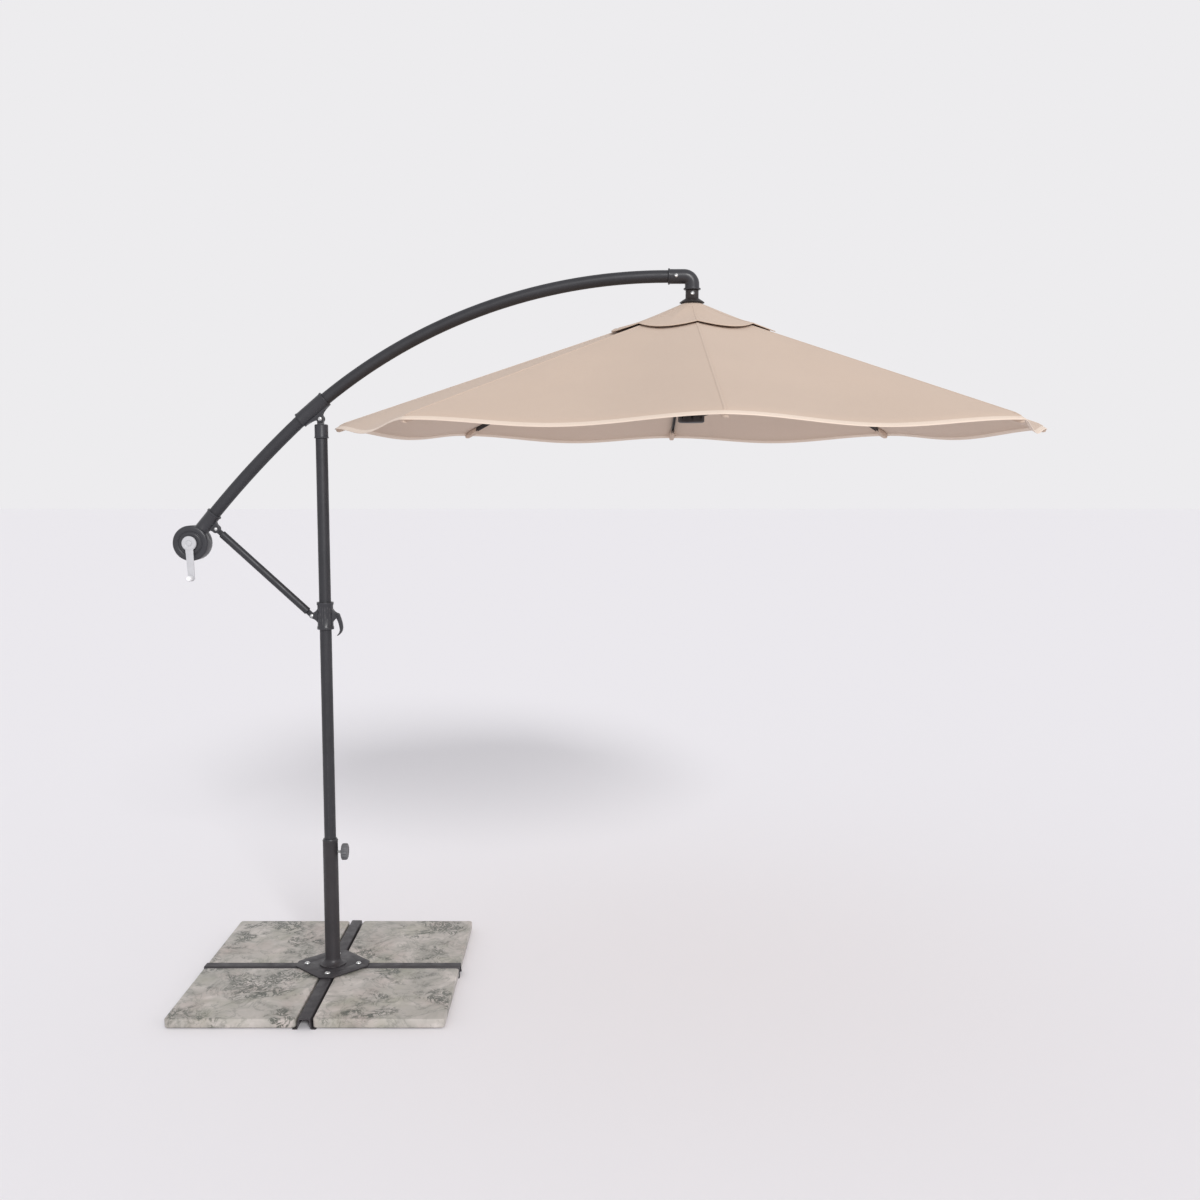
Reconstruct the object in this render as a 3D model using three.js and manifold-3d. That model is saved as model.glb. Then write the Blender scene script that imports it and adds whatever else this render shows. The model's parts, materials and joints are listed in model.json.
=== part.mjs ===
// A cantilever parasol: a slab-weighted cross base, a turning mast, a curved boom that tilts on a
// sliding strut, and an eight-rib canopy that a crank folds and opens.
// Millimetres, +Z up. The origin is on the ground, on the mast's axis. +X points from the mast to the
// canopy, and the crank's handle faces -Y.
import * as THREE from "three";
import { mergeVertices } from "three/addons/utils/BufferGeometryUtils.js";
import Module from "manifold-3d";

// ---------------------------------------------------------------- driving dimensions
const GAP = 0.4; // between pieces that touch

const SLAB = { side: 470, thickness: 34, corner: 14, edge: 5 };
const BAR = { half: 503, height: 40, web: 21, spread: 28, foot: 43, wall: 3.5 };
const PLATE = { reach: 140, corner: 26, thickness: 5 };
const BOLT = { circle: 101, shank: 5, head: 10, rise: 7, nut: 9, nutHeight: 7, tip: 5 };
const SLEEVE = { bore: 25.8, radius: 29, top: 545, flange: 52, flangeEdge: 4, flangeRise: 22 };
const BUSH = { depth: 36, rise: 5 };
const CLAMP = { z: 497, screw: 4.7, knob: 33, lobes: 8, lobeDepth: 2.5, from: 44, to: 68 };
const MAST = { radius: 22.5, wall: 1.8, top: 2099 };
const CAP = { radius: 25.5, lip: 27, lipHeight: 5, height: 52, spigot: 20.3, inserted: 30 };
const TILT_TAB = { half: 8, radius: 12 };
const TILT_BOLT = { shank: 5, head: 8 };

const TILT_PIVOT = { x: -2, z: 2172 }; // boom on mast
const STRUT_TOP = { x: -408, z: 1757 }; // strut on crank housing
const STRUT_FOOT = { x: -50, z: 1425 }; // strut on sliding collar
const LEVER_PIVOT = { x: 46, z: 1425 };
const DRUM = { x: -499, z: 1704, radius: 67, wall: 5, front: -29, back: 33 };

const BOOM = { radius: 23.3, wall: 2, topX: 1357, crownX: 1303.8, crownZ: 2699 };
const BOOM_UPPER = { radius: 2055, turn: 42.86 }; // degrees that the tube turns through
const BOOM_LOWER = { radius: 3784, turn: 7.4 };
const BRACKET = { centreX: -31, halfLength: 63, bore: 25.6, radius: 28.9, lip: 30.5, lipWidth: 6 };
const TILT_EARS = { radius: 15, cheek: 13, slot: 8.4 };
const ELBOW = { startX: 1307, radius: 27, bore: 23.9, bend: 30, bottom: 2650 };
const ELBOW_RING = { upper: 30, lower: 32, width: 6 };
const ELBOW_SCREW = { along: 29, shank: 4.5, head: 7, hole: 5, tipInset: 6 };

const COLLAR = { bottom: 1373, height: 104, bore: 26.3, waist: 29.8, rim: 32, rimHeight: 9 };
const NECK = { bore: 24.2, radius: 27, lip: 29.5, lipWidth: 6, inserted: 27 };
const LUG = { radius: 16, cheek: 9.5, slot: 3.7, pin: 4, hole: 4.4, head: 7 };
const LEVER = { head: 10.5, half: 6.5, cheek: 11, slot: 6.9 };
const STRUT = { radius: 14.5, wall: 1.5, tab: 3, tabHalf: 10, topInset: 29, footInset: 24 };

const CANOPY = { x: 1397, radius: 1345, ribs: 8, slope: 18.4, cloth: 1.2, opening: 170, hemRise: 2 };
const VENT = { inner: 31, radius: 290, slope: 21.06, apexRise: 48, hemRise: -84 };
const VENT_SEAM = { half: 4, from: 200, to: 270 };
const HEM_PULL = 0.55; // how far the curve of a gore's edge is drawn along the gore
const HUB = { z: 2564.6, pivot: 34, radius: 50, above: 6, below: 13, core: 23, neck: 16 };
const STEM = { radius: 24.5, height: 35, spigot: 16, screwHead: 6, screwDepth: 15, cordBore: 7 };
const DOME = { radius: 47, rise: 16, edge: 1, overlap: 3 };
const RIB = { end: 1354, width: 6, above: 12, below: 3, wall: 1.5, start: 24, tab: 2.5, clothGap: 1.4 };
const STRETCHER = { length: 604, width: 8.4, half: 6, wall: 2, start: 26, fork: 70 };
const SLOT = 2.9; // half width of the hub's and the runner's slots
const RUNNER = { radius: 50, below: 26, floor: 10, above: 12, core: 23 };

const CRANK = { arm: 131, lean: 2.8, hub: 28, tip: 12.5, back: -43, face: -54, plate: 7, shaft: 7 };
const GRIP = { radius: 11, length: 38, pin: 3.5 };
const SPOOL = { core: 22.5, flange: 46, half: 15, flangeWidth: 3 };
const CORD = { radius: 2, blend: 25 };

const FINISH = {
  powderCoat: { color: 0x464649, roughness: 0.55, metalness: 0.4 },
  baseCoat: { color: 0x444042, roughness: 0.55, metalness: 0.4 },
  ribSteel: { color: 0x2b2625, roughness: 0.5, metalness: 0.4 },
  plastic: { color: 0x3c3c40, roughness: 0.45, metalness: 0 },
  knobPlastic: { color: 0x5f5f62, roughness: 0.5, metalness: 0 },
  crankPlastic: { color: 0xbbbbbe, roughness: 0.35, metalness: 0 },
  gripPlastic: { color: 0xe8e8ea, roughness: 0.15, metalness: 0 },
  zinc: { color: 0xdcdcdc, roughness: 0.3, metalness: 0.9 },
  cloth: { color: 0xd7c2b3, roughness: 0.9, metalness: 0 },
  stone: { color: 0xadaaa5, roughness: 0.6, metalness: 0 },
  cord: { color: 0x1f1f20, roughness: 0.9, metalness: 0 },
};

const rad = THREE.MathUtils.degToRad;
const slope = rad(CANOPY.slope);
const spokeTurn = (2 * Math.PI) / CANOPY.ribs;

// ---------------------------------------------------------------- shaping helpers
const wasm = await Module();
wasm.setup();

// A closed geometry as a solid, with its faces pointing out.
function solid(geometry) {
  const bare = geometry.clone();
  bare.deleteAttribute("normal");
  bare.deleteAttribute("uv");
  const merged = mergeVertices(bare, 1e-3);
  const vertProperties = merged.attributes.position.array;
  const make = (triVerts) => new wasm.Manifold(new wasm.Mesh({ numProp: 3, vertProperties, triVerts }));
  const made = make(new Uint32Array(merged.index.array));
  return made.volume() < 0 ? make(new Uint32Array(merged.index.array).reverse()) : made;
}

function geometryOf(manifold) {
  const mesh = manifold.getMesh();
  const positions = new Float32Array(mesh.vertProperties);
  const geometry = new THREE.BufferGeometry();
  geometry.setAttribute("position", new THREE.BufferAttribute(positions, 3));
  geometry.setIndex(new THREE.BufferAttribute(new Uint32Array(mesh.triVerts), 1));
  geometry.computeVertexNormals();
  return geometry;
}

const join = (first, ...rest) => rest.reduce((sum, piece) => sum.add(piece), first);
const cut = (first, ...rest) => rest.reduce((left, piece) => left.subtract(piece), first);

// A solid turned about +Z from [radius, z] points, which start and end on the axis or close a ring.
function turned(profile, sides = 24) {
  const points = profile.map(([r, z]) => new THREE.Vector2(r, z));
  return solid(new THREE.LatheGeometry(points, sides).rotateX(Math.PI / 2));
}

const disc = (radius, from, to, sides) => turned([[0, from], [radius, from], [radius, to], [0, to]], sides);
const ring = (inner, outer, from, to, sides) =>
  turned([[inner, from], [outer, from], [outer, to], [inner, to], [inner, from]], sides);

// Moves a solid so that its +Z axis points along a direction and its origin is at a place.
function placed(manifold, direction, [x, y, z] = [0, 0, 0]) {
  const turn = new THREE.Quaternion().setFromUnitVectors(
    new THREE.Vector3(0, 0, 1),
    new THREE.Vector3(...direction).normalize(),
  );
  const matrix = new THREE.Matrix4().compose(new THREE.Vector3(x, y, z), turn, new THREE.Vector3(1, 1, 1));
  return manifold.transform(matrix.elements);
}

const pinAlongY = (radius, from, to, { x, z }, sides = 14) =>
  placed(disc(radius, from, to, sides), [0, 1, 0], [x, 0, z]);

// A flat plate of an outline drawn in X and Z, from one Y to another.
function plateXZ(shape, fromY, toY, curveSegments = 8) {
  const flat = new THREE.ExtrudeGeometry(shape, { depth: toY - fromY, bevelEnabled: false, curveSegments });
  return solid(flat.rotateX(Math.PI / 2).translate(0, toY, 0));
}

function boxAt(low, high) {
  const size = low.map((value, i) => high[i] - value);
  const middle = low.map((value, i) => (high[i] + value) / 2);
  return solid(new THREE.BoxGeometry(...size).translate(...middle));
}

function polygon(points) {
  const shape = new THREE.Shape();
  points.forEach(([x, y], i) => (i ? shape.lineTo(x, y) : shape.moveTo(x, y)));
  shape.closePath();
  return shape;
}

// A path in the X-Z plane made of straight and round stretches, each [length, degrees turned].
class Route extends THREE.Curve {
  constructor(start, heading, stretches) {
    super();
    this.start = start;
    this.heading = rad(heading);
    this.stretches = stretches;
    this.total = stretches.reduce((sum, [length]) => sum + length, 0);
  }
  stateAt(distance) {
    let { x, z } = this.start;
    let heading = this.heading;
    let left = distance;
    for (const [length, degrees] of this.stretches) {
      const step = Math.min(left, length);
      const turn = (rad(degrees) * step) / length;
      const chord = turn ? (2 * step * Math.sin(turn / 2)) / turn : step;
      x += chord * Math.cos(heading + turn / 2);
      z += chord * Math.sin(heading + turn / 2);
      heading += turn;
      left -= step;
      if (left <= 0) break;
    }
    return { x, z, heading };
  }
  getPoint(t, target = new THREE.Vector3()) {
    const { x, z } = this.stateAt(t * this.total);
    return target.set(x, 0, z);
  }
}

// A round bar or tube swept along a route.
function swept(route, radius, bore, steps, sides) {
  const shape = new THREE.Shape().absarc(0, 0, radius, 0, 2 * Math.PI, false);
  if (bore) shape.holes.push(new THREE.Path().absarc(0, 0, bore, 0, 2 * Math.PI, true));
  const options = { steps, curveSegments: sides / 2, bevelEnabled: false, extrudePath: route };
  return solid(new THREE.ExtrudeGeometry(shape, options));
}

const root = new THREE.Group();

function node(name, shape, finish, parent = root, position = [0, 0, 0], rotation = [0, 0, 0]) {
  const mesh = new THREE.Mesh(geometryOf(shape), new THREE.MeshStandardMaterial(FINISH[finish]));
  mesh.name = name;
  mesh.position.set(...position);
  mesh.rotation.set(...rotation);
  parent.add(mesh);
  return mesh;
}

function group(parent, position = [0, 0, 0], rotation = [0, 0, 0]) {
  const frame = new THREE.Group();
  frame.position.set(...position);
  frame.rotation.set(...rotation);
  parent.add(frame);
  return frame;
}

// ---------------------------------------------------------------- base
const plateBottom = BAR.height + GAP;
const plateTop = plateBottom + PLATE.thickness;
const boltHole = () => disc(BOLT.shank + GAP, 0, plateTop + BOLT.head, 12);

function slab() {
  const half = SLAB.side / 2 - SLAB.edge;
  const corner = SLAB.corner - SLAB.edge;
  const shape = new THREE.Shape();
  [0, 1, 2, 3].forEach((quarter) => {
    const turn = (quarter * Math.PI) / 2;
    const [c, s] = [Math.cos(turn), Math.sin(turn)];
    const inner = half - corner;
    shape.absarc(inner * (c - s), inner * (s + c), corner, turn, turn + Math.PI / 2, false);
  });
  const bevel = { bevelEnabled: true, bevelThickness: SLAB.edge, bevelSize: SLAB.edge, bevelSegments: 2 };
  const depth = SLAB.thickness - 2 * SLAB.edge;
  const extruded = new THREE.ExtrudeGeometry(shape, { depth, curveSegments: 2, ...bevel });
  return solid(extruded.translate(0, 0, SLAB.edge));
}

// A hat-section bar along +X, open below, whose sides spread to a foot flange for the slabs.
function bar(from, to) {
  const { height, web, spread, foot, wall } = BAR;
  const right = [
    [web - wall, height - wall],
    [spread - wall, 0],
    [foot, 0],
    [foot, wall],
    [spread, wall],
    [web, height],
  ];
  const left = right.map(([y, z]) => [-y, z]).reverse();
  const section = polygon([...right, ...left]);
  const length = to - from;
  const upright = new THREE.ExtrudeGeometry(section, { depth: length, bevelEnabled: false });
  return solid(upright.rotateX(Math.PI / 2).rotateZ(Math.PI / 2).translate(from, 0, 0));
}

function basePlate() {
  const { reach, corner, thickness } = PLATE;
  const turned90 = ([x, y], quarters) => (quarters ? turned90([-y, x], quarters - 1) : [x, y]);
  const side = [[reach, -corner], [reach, corner]];
  const points = [0, 1, 2, 3].flatMap((quarter) => side.map((point) => turned90(point, quarter)));
  const plate = new THREE.ExtrudeGeometry(polygon(points), { depth: thickness, bevelEnabled: false });
  const holes = boltPlaces().map(([x, y]) => boltHole().translate(x, y, 0));
  return cut(solid(plate.translate(0, 0, plateBottom)), ...holes);
}

function boltPlaces() {
  const { circle } = BOLT;
  return [[circle, 0], [0, circle], [-circle, 0], [0, -circle]];
}

function baseBolt() {
  const { shank, head, rise, nut, nutHeight, tip } = BOLT;
  const underside = BAR.height - BAR.wall - GAP;
  const nutFoot = underside - nutHeight;
  return turned([
    [0, nutFoot - tip],
    [shank, nutFoot - tip],
    [shank, nutFoot],
    [nut, nutFoot],
    [nut, underside],
    [shank, underside],
    [shank, plateTop + GAP],
    [head, plateTop + GAP],
    [head, plateTop + 0.3 * rise],
    [head * 0.8, plateTop + 0.7 * rise],
    [head * 0.4, plateTop + 0.93 * rise],
    [0, plateTop + rise],
  ], 12);
}

function baseSleeve() {
  const { bore, radius, top, flange, flangeEdge, flangeRise } = SLEEVE;
  const foot = plateTop + GAP;
  const dome = [0, 0.25, 0.5, 0.75, 1].map((t) => {
    const angle = (t * Math.PI) / 2;
    const inwards = (flange - radius) * Math.sin(angle);
    return [flange - inwards, foot + flangeEdge + flangeRise * (1 - Math.cos(angle))];
  });
  const tube = turned([[bore, foot], [flange, foot], ...dome, [radius, top], [bore, top], [bore, foot]]);
  const screwHole = placed(disc(CLAMP.screw + GAP, 0, 2 * radius, 12), [1, 0, 0], [0, 0, CLAMP.z]);
  return cut(tube, screwHole);
}

function sleeveBush() {
  const inner = MAST.radius + GAP;
  const skirt = SLEEVE.bore - GAP;
  const lip = SLEEVE.radius - 0.5;
  const top = SLEEVE.top + GAP;
  const foot = top - BUSH.depth;
  return turned([
    [inner, foot],
    [skirt, foot],
    [skirt, top],
    [lip, top],
    [lip - 2, top + BUSH.rise],
    [inner, top + BUSH.rise],
    [inner, foot],
  ]);
}

function clampKnob() {
  const { knob, lobes, lobeDepth, screw, from, to } = CLAMP;
  const edge = 5;
  const turns = lobes * 6;
  const outline = Array.from({ length: turns }, (_, i) => {
    const angle = (2 * Math.PI * i) / turns;
    const radius = knob - edge + lobeDepth * Math.cos(lobes * angle);
    return [radius * Math.cos(angle), radius * Math.sin(angle)];
  });
  const bevel = { bevelThickness: edge, bevelSize: edge, bevelSegments: 1 };
  const depth = to - from - 2 * edge;
  const head = new THREE.ExtrudeGeometry(polygon(outline), { depth, bevelEnabled: true, ...bevel });
  const tip = MAST.radius + GAP;
  return join(solid(head.translate(0, 0, from + edge)), disc(screw, tip, from + edge, 12));
}

function addBase() {
  const middle = SLAB.side / 2 + BAR.spread + 2;
  [[1, 1], [-1, 1], [-1, -1], [1, -1]].forEach(([sx, sy], i) => {
    node(`slab_${i + 1}`, slab(), "stone", root, [sx * middle, sy * middle, BAR.wall + GAP]);
  });
  const hole = (x) => boltHole().translate(x, 0, 0);
  const longBar = cut(bar(-BAR.half, BAR.half), hole(BOLT.circle), hole(-BOLT.circle));
  node("cross_bar", longBar, "baseCoat");
  const halfBar = cut(bar(BAR.foot + GAP, BAR.half), hole(BOLT.circle));
  node("rear_half_bar", halfBar, "baseCoat", root, [0, 0, 0], [0, 0, Math.PI / 2]);
  node("front_half_bar", halfBar, "baseCoat", root, [0, 0, 0], [0, 0, -Math.PI / 2]);
  node("base_plate", basePlate(), "baseCoat");
  node("base_sleeve", baseSleeve(), "baseCoat");
  node("sleeve_bush", sleeveBush(), "plastic");
  boltPlaces().forEach(([x, y], i) => node(`base_bolt_${i + 1}`, baseBolt(), "zinc", root, [x, y, 0]));
  node("clamp_knob", clampKnob(), "knobPlastic", root, [0, 0, CLAMP.z], [0, Math.PI / 2, 0]);
}

// ---------------------------------------------------------------- mast
function mast() {
  const foot = plateTop + GAP;
  return ring(MAST.radius - MAST.wall, MAST.radius, foot, MAST.top);
}

function mastCap() {
  const { radius, lip, lipHeight, height, spigot, inserted } = CAP;
  const { x, z } = TILT_PIVOT;
  const bottom = MAST.top + GAP;
  const chamfer = 3;
  const body = turned([
    [0, bottom - inserted],
    [spigot, bottom - inserted],
    [spigot, bottom],
    [lip, bottom],
    [lip, bottom + lipHeight],
    [radius, bottom + lipHeight + 1],
    [radius, bottom + height - chamfer],
    [radius - chamfer, bottom + height],
    [0, bottom + height],
  ]);
  const shape = new THREE.Shape();
  shape.moveTo(x - TILT_TAB.radius, bottom + height - 1);
  shape.lineTo(x + TILT_TAB.radius, bottom + height - 1);
  shape.absarc(x, z, TILT_TAB.radius, 0, Math.PI, false);
  shape.closePath();
  const tab = plateXZ(shape, -TILT_TAB.half, TILT_TAB.half);
  const hole = pinAlongY(TILT_BOLT.shank + GAP, -20, 20, TILT_PIVOT);
  return cut(join(body, tab), hole);
}

// A pin about +Z with a domed head at each end of the ears that it holds.
function pin(radius, headRadius, halfSpan) {
  const face = halfSpan + GAP;
  return turned([
    [0, -face - 5],
    [headRadius * 0.7, -face - 4],
    [headRadius, -face - 1.5],
    [headRadius, -face],
    [radius, -face],
    [radius, face],
    [headRadius, face],
    [headRadius, face + 1.5],
    [headRadius * 0.7, face + 4],
    [0, face + 5],
  ], 14);
}

const alongY = [-Math.PI / 2, 0, 0]; // turns +Z to +Y

function addMast() {
  node("mast", mast(), "powderCoat");
  node("mast_cap", mastCap(), "plastic");
  const bolt = pin(TILT_BOLT.shank, TILT_BOLT.head, TILT_EARS.cheek);
  node("tilt_bolt", bolt, "zinc", root, [TILT_PIVOT.x, 0, TILT_PIVOT.z], alongY);
}

// ---------------------------------------------------------------- boom
const boomRoute = new Route({ x: BOOM.topX, z: BOOM.crownZ }, 180, [
  [BOOM.topX - BOOM.crownX, 0],
  [BOOM_UPPER.radius * rad(BOOM_UPPER.turn), BOOM_UPPER.turn],
  [BOOM_LOWER.radius * rad(BOOM_LOWER.turn), BOOM_LOWER.turn],
]);
const boomFoot = boomRoute.stateAt(boomRoute.total);

const elbowStraight = CANOPY.x - ELBOW.bend - ELBOW.startX;
const elbowDrop = BOOM.crownZ - ELBOW.bend - ELBOW.bottom;
const elbowBend = [ELBOW.bend * (Math.PI / 2), -90];
const elbowStretches = [[elbowStraight, 0], elbowBend, [elbowDrop, 0]];
const elbowRoute = new Route({ x: ELBOW.startX, z: BOOM.crownZ }, 0, elbowStretches);

// The straight frame that fits the curved tube under the bracket: a place on its axis and its angle.
function bracketFrame() {
  const crownCentre = BOOM.crownZ - BOOM_UPPER.radius;
  const dx = BOOM.crownX - BRACKET.centreX;
  const dz = Math.sqrt(BOOM_UPPER.radius ** 2 - dx ** 2);
  return { x: BRACKET.centreX, z: crownCentre + dz, angle: Math.atan2(dx, dz) };
}

// Where a place in X and Z falls in a frame that lies along a tube.
function inFrame({ x, z, angle }, place) {
  const [dx, dz] = [place.x - x, place.z - z];
  return [dx * Math.cos(angle) + dz * Math.sin(angle), dz * Math.cos(angle) - dx * Math.sin(angle)];
}

// Two ears that reach from a tube along +X to a pivot below it, with hollow flanks.
function ears([u, v], reach, depth, { radius, cheek, slot }) {
  const shape = new THREE.Shape();
  shape.moveTo(u - reach, -depth + 6);
  shape.lineTo(u - reach, -depth);
  shape.quadraticCurveTo(u - radius - 2, -depth - 3, u - radius * 0.95, v + 3);
  shape.absarc(u, v, radius, Math.PI - 0.2, 2 * Math.PI + 0.2, false);
  shape.quadraticCurveTo(u + radius + 2, -depth - 3, u + reach, -depth);
  shape.lineTo(u + reach, -depth + 6);
  shape.closePath();
  const slotBox = boxAt([u - 2 * reach, -slot, v - 3 * radius], [u + 2 * reach, slot, -depth - 1]);
  return { solid: plateXZ(shape, -cheek, cheek, 6), slot: slotBox };
}

function boomBracket(frame) {
  const { halfLength, bore, radius, lip, lipWidth } = BRACKET;
  const { cheek } = TILT_EARS;
  const [u, v] = inFrame(frame, TILT_PIVOT);
  const tube = turned([
    [0, -halfLength],
    [lip, -halfLength],
    [lip, lipWidth - halfLength],
    [radius, lipWidth + 2 - halfLength],
    [radius, halfLength - lipWidth - 2],
    [lip, halfLength - lipWidth],
    [lip, halfLength],
    [0, halfLength],
  ]);
  const web = ears([u, v], halfLength - lipWidth - 2, radius, TILT_EARS);
  const hole = pinAlongY(TILT_BOLT.shank + GAP, -2 * cheek, 2 * cheek, { x: u, z: v });
  const boreCut = placed(disc(bore, -halfLength - 1, halfLength + 1), [1, 0, 0]);
  return cut(join(placed(tube, [1, 0, 0]), web.solid), web.slot, hole, boreCut);
}

function elbow() {
  const { startX, radius, bore, bottom } = ELBOW;
  const { upper, lower, width } = ELBOW_RING;
  const outside = swept(elbowRoute, radius, 0, 11, 16);
  const inside = swept(elbowRoute, bore, 0, 11, 16);
  const startRing = placed(disc(upper, 0, width), [1, 0, 0], [startX, 0, BOOM.crownZ]);
  const endRing = disc(lower, bottom, bottom + width).translate(CANOPY.x, 0, 0);
  return cut(join(outside, startRing, endRing), inside, elbowScrewHole());
}

const elbowScrewPlace = { x: ELBOW.startX + ELBOW_SCREW.along, z: BOOM.crownZ };
const elbowScrewHole = () => pinAlongY(ELBOW_SCREW.hole, -2 * ELBOW.radius, 0, elbowScrewPlace);

function elbowScrew() {
  const { shank, head, tipInset } = ELBOW_SCREW;
  const face = ELBOW.radius + GAP;
  const tip = tipInset - BOOM.radius;
  return turned([
    [0, -face - 4],
    [head * 0.7, -face - 3],
    [head, -face - 1],
    [head, -face],
    [shank, -face],
    [shank, tip],
    [0, tip],
  ], 16);
}

function addBoom() {
  const frame = bracketFrame();
  const tube = swept(boomRoute, BOOM.radius, BOOM.radius - BOOM.wall, 20, 16);
  node("boom", cut(tube, elbowScrewHole()), "powderCoat");
  node("boom_bracket", boomBracket(frame), "plastic", root, [frame.x, 0, frame.z], [0, -frame.angle, 0]);
  node("elbow", elbow(), "plastic");
  const screwPlace = [elbowScrewPlace.x, 0, elbowScrewPlace.z];
  node("elbow_screw", elbowScrew(), "zinc", root, screwPlace, alongY);
}

// ---------------------------------------------------------------- crank
// The frame along the boom's lower end, with its origin where the tube stops.
const neckFrame = { x: boomFoot.x, z: boomFoot.z, angle: boomFoot.heading - Math.PI };

function crankHousing() {
  const { radius, wall, front, back } = DRUM;
  const { inserted } = NECK;
  const [drumU, drumV] = inFrame(neckFrame, DRUM);
  const [u, v] = inFrame(neckFrame, STRUT_TOP);
  const drum = placed(
    turned([[0, front], [radius, front], [radius, back - 6], [radius - 6, back], [0, back]], 28),
    [0, 1, 0],
    [drumU, 0, drumV],
  );
  const inside = placed(disc(radius - wall, front - 1, back - 4, 28), [0, 1, 0], [drumU, 0, drumV]);
  const toDrum = drumU + radius * 0.75;
  const tube = placed(disc(NECK.radius, toDrum, inserted), [1, 0, 0]);
  const lip = placed(disc(NECK.lip, inserted - NECK.lipWidth, inserted), [1, 0, 0]);
  const lug = ears([u, v], 1.5 * LUG.radius, NECK.radius - 2, LUG);
  const pinHole = pinAlongY(LUG.hole, -20, 20, { x: u, z: v });
  const bore = placed(disc(NECK.bore, drumU + radius - wall - 8, inserted + 1), [1, 0, 0]);
  const axleHole = placed(disc(CRANK.shaft + GAP, 0, back - wall, 16), [0, 1, 0], [drumU, 0, drumV]);
  return cut(join(drum, tube, lip, lug.solid), inside, lug.slot, pinHole, bore, axleHole);
}

function housingCover() {
  const { radius, front } = DRUM;
  const face = front - GAP;
  return turned([
    [CRANK.shaft + GAP, face],
    [radius, face],
    [radius, face - 2],
    [radius - 4, face - 6],
    [radius - 12, face - 8],
    [44, face - 8.5],
    [40, face - 10.5],
    [CRANK.shaft + GAP, face - 10.5],
    [CRANK.shaft + GAP, face],
  ], 30);
}

function spool() {
  const { core, flange, half, flangeWidth } = SPOOL;
  const { shaft } = CRANK;
  return turned([
    [0, CRANK.face + 4],
    [shaft, CRANK.face + 4],
    [shaft, -half],
    [flange, -half],
    [flange, flangeWidth - half],
    [core, flangeWidth - half],
    [core, half - flangeWidth],
    [flange, half - flangeWidth],
    [flange, half],
    [shaft, half],
    [shaft, DRUM.back - 5.5],
    [0, DRUM.back - 5.5],
  ], 20);
}

// The arm hangs along -Z from the crank's axis, with the pin that carries the grip.
function crankArm() {
  const { arm, hub, tip, back, face, plate, shaft } = CRANK;
  const shape = new THREE.Shape();
  shape.moveTo(-tip * 1.2, -hub * 0.8);
  shape.lineTo(tip * 1.2, -hub * 0.8);
  shape.lineTo(tip, -arm);
  shape.absarc(0, -arm, tip, 0, -Math.PI, true);
  shape.closePath();
  const blade = plateXZ(shape, face + 1, face + 1 + plate);
  const boss = placed(
    turned([[0, face], [hub - 3, face], [hub, face + 3], [hub, back - 2], [hub - 2, back], [0, back]]),
    [0, 1, 0],
  );
  const gripPin = pinAlongY(GRIP.pin, face - GRIP.length + 4, face + 2, { x: 0, z: -arm }, 12);
  const socket = pinAlongY(shaft + GAP, face + 4 - GAP, back + 5, { x: 0, z: 0 });
  return cut(join(blade, boss, gripPin), socket);
}

function crankGrip() {
  const { radius, length, pin: pinRadius } = GRIP;
  const bore = pinRadius + GAP;
  const base = CRANK.face - GAP + 1;
  const end = base - length;
  return turned([
    [bore, base],
    [radius * 0.8, base],
    [radius * 0.85, base - 4],
    [radius, end + 8],
    [radius * 0.95, end + 3],
    [radius * 0.6, end],
    [0, end],
    [0, end + 3],
    [bore, end + 3],
    [bore, base],
  ], 16);
}

function addCrank() {
  const axle = [DRUM.x, 0, DRUM.z];
  const neckPlace = [neckFrame.x, 0, neckFrame.z];
  node("crank_housing", crankHousing(), "plastic", root, neckPlace, [0, -neckFrame.angle, 0]);
  node("housing_cover", housingCover(), "plastic", root, axle, alongY);
  node("spool", spool(), "plastic", root, axle, alongY);
  const crank = group(root, axle, [0, -rad(CRANK.lean), 0]);
  node("crank_arm", crankArm(), "crankPlastic", crank);
  node("crank_grip", crankGrip(), "gripPlastic", crank, [0, 0, -CRANK.arm], alongY);
}

// ---------------------------------------------------------------- tilt strut and sliding collar
const strutSpan = Math.hypot(STRUT_FOOT.x - STRUT_TOP.x, STRUT_FOOT.z - STRUT_TOP.z);
const strutAngle = Math.atan2(STRUT_FOOT.z - STRUT_TOP.z, STRUT_FOOT.x - STRUT_TOP.x);

// A tube along +X from the upper pivot, plugged at each end by a flat eye.
function strut() {
  const { radius, wall, tab, tabHalf, topInset, footInset } = STRUT;
  const plug = 10;
  const from = topInset;
  const to = strutSpan - footInset;
  const tube = ring(radius - wall, radius, from, to, 18);
  const plugs = [from, to - plug].map((x) => disc(radius - wall / 2, x, x + plug, 18));
  const eye = (x, inner) => {
    const shape = new THREE.Shape();
    const side = Math.sign(inner - x);
    shape.moveTo(inner, -side * tabHalf);
    shape.lineTo(inner, side * tabHalf);
    shape.absarc(x, 0, tabHalf, (side * Math.PI) / 2, (side * Math.PI * 3) / 2, side < 0);
    shape.closePath();
    const ear = plateXZ(shape, -tab, tab, 6);
    return cut(ear, pinAlongY(LUG.hole, -10, 10, { x, z: 0 }));
  };
  const drain = disc(2.5, 0, 2 * radius, 8).translate(strutSpan / 2, 0, -2 * radius);
  const body = placed(join(tube, ...plugs), [1, 0, 0]);
  return cut(join(body, eye(0, from + 2), eye(strutSpan, to - 2)), drain);
}

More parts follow.
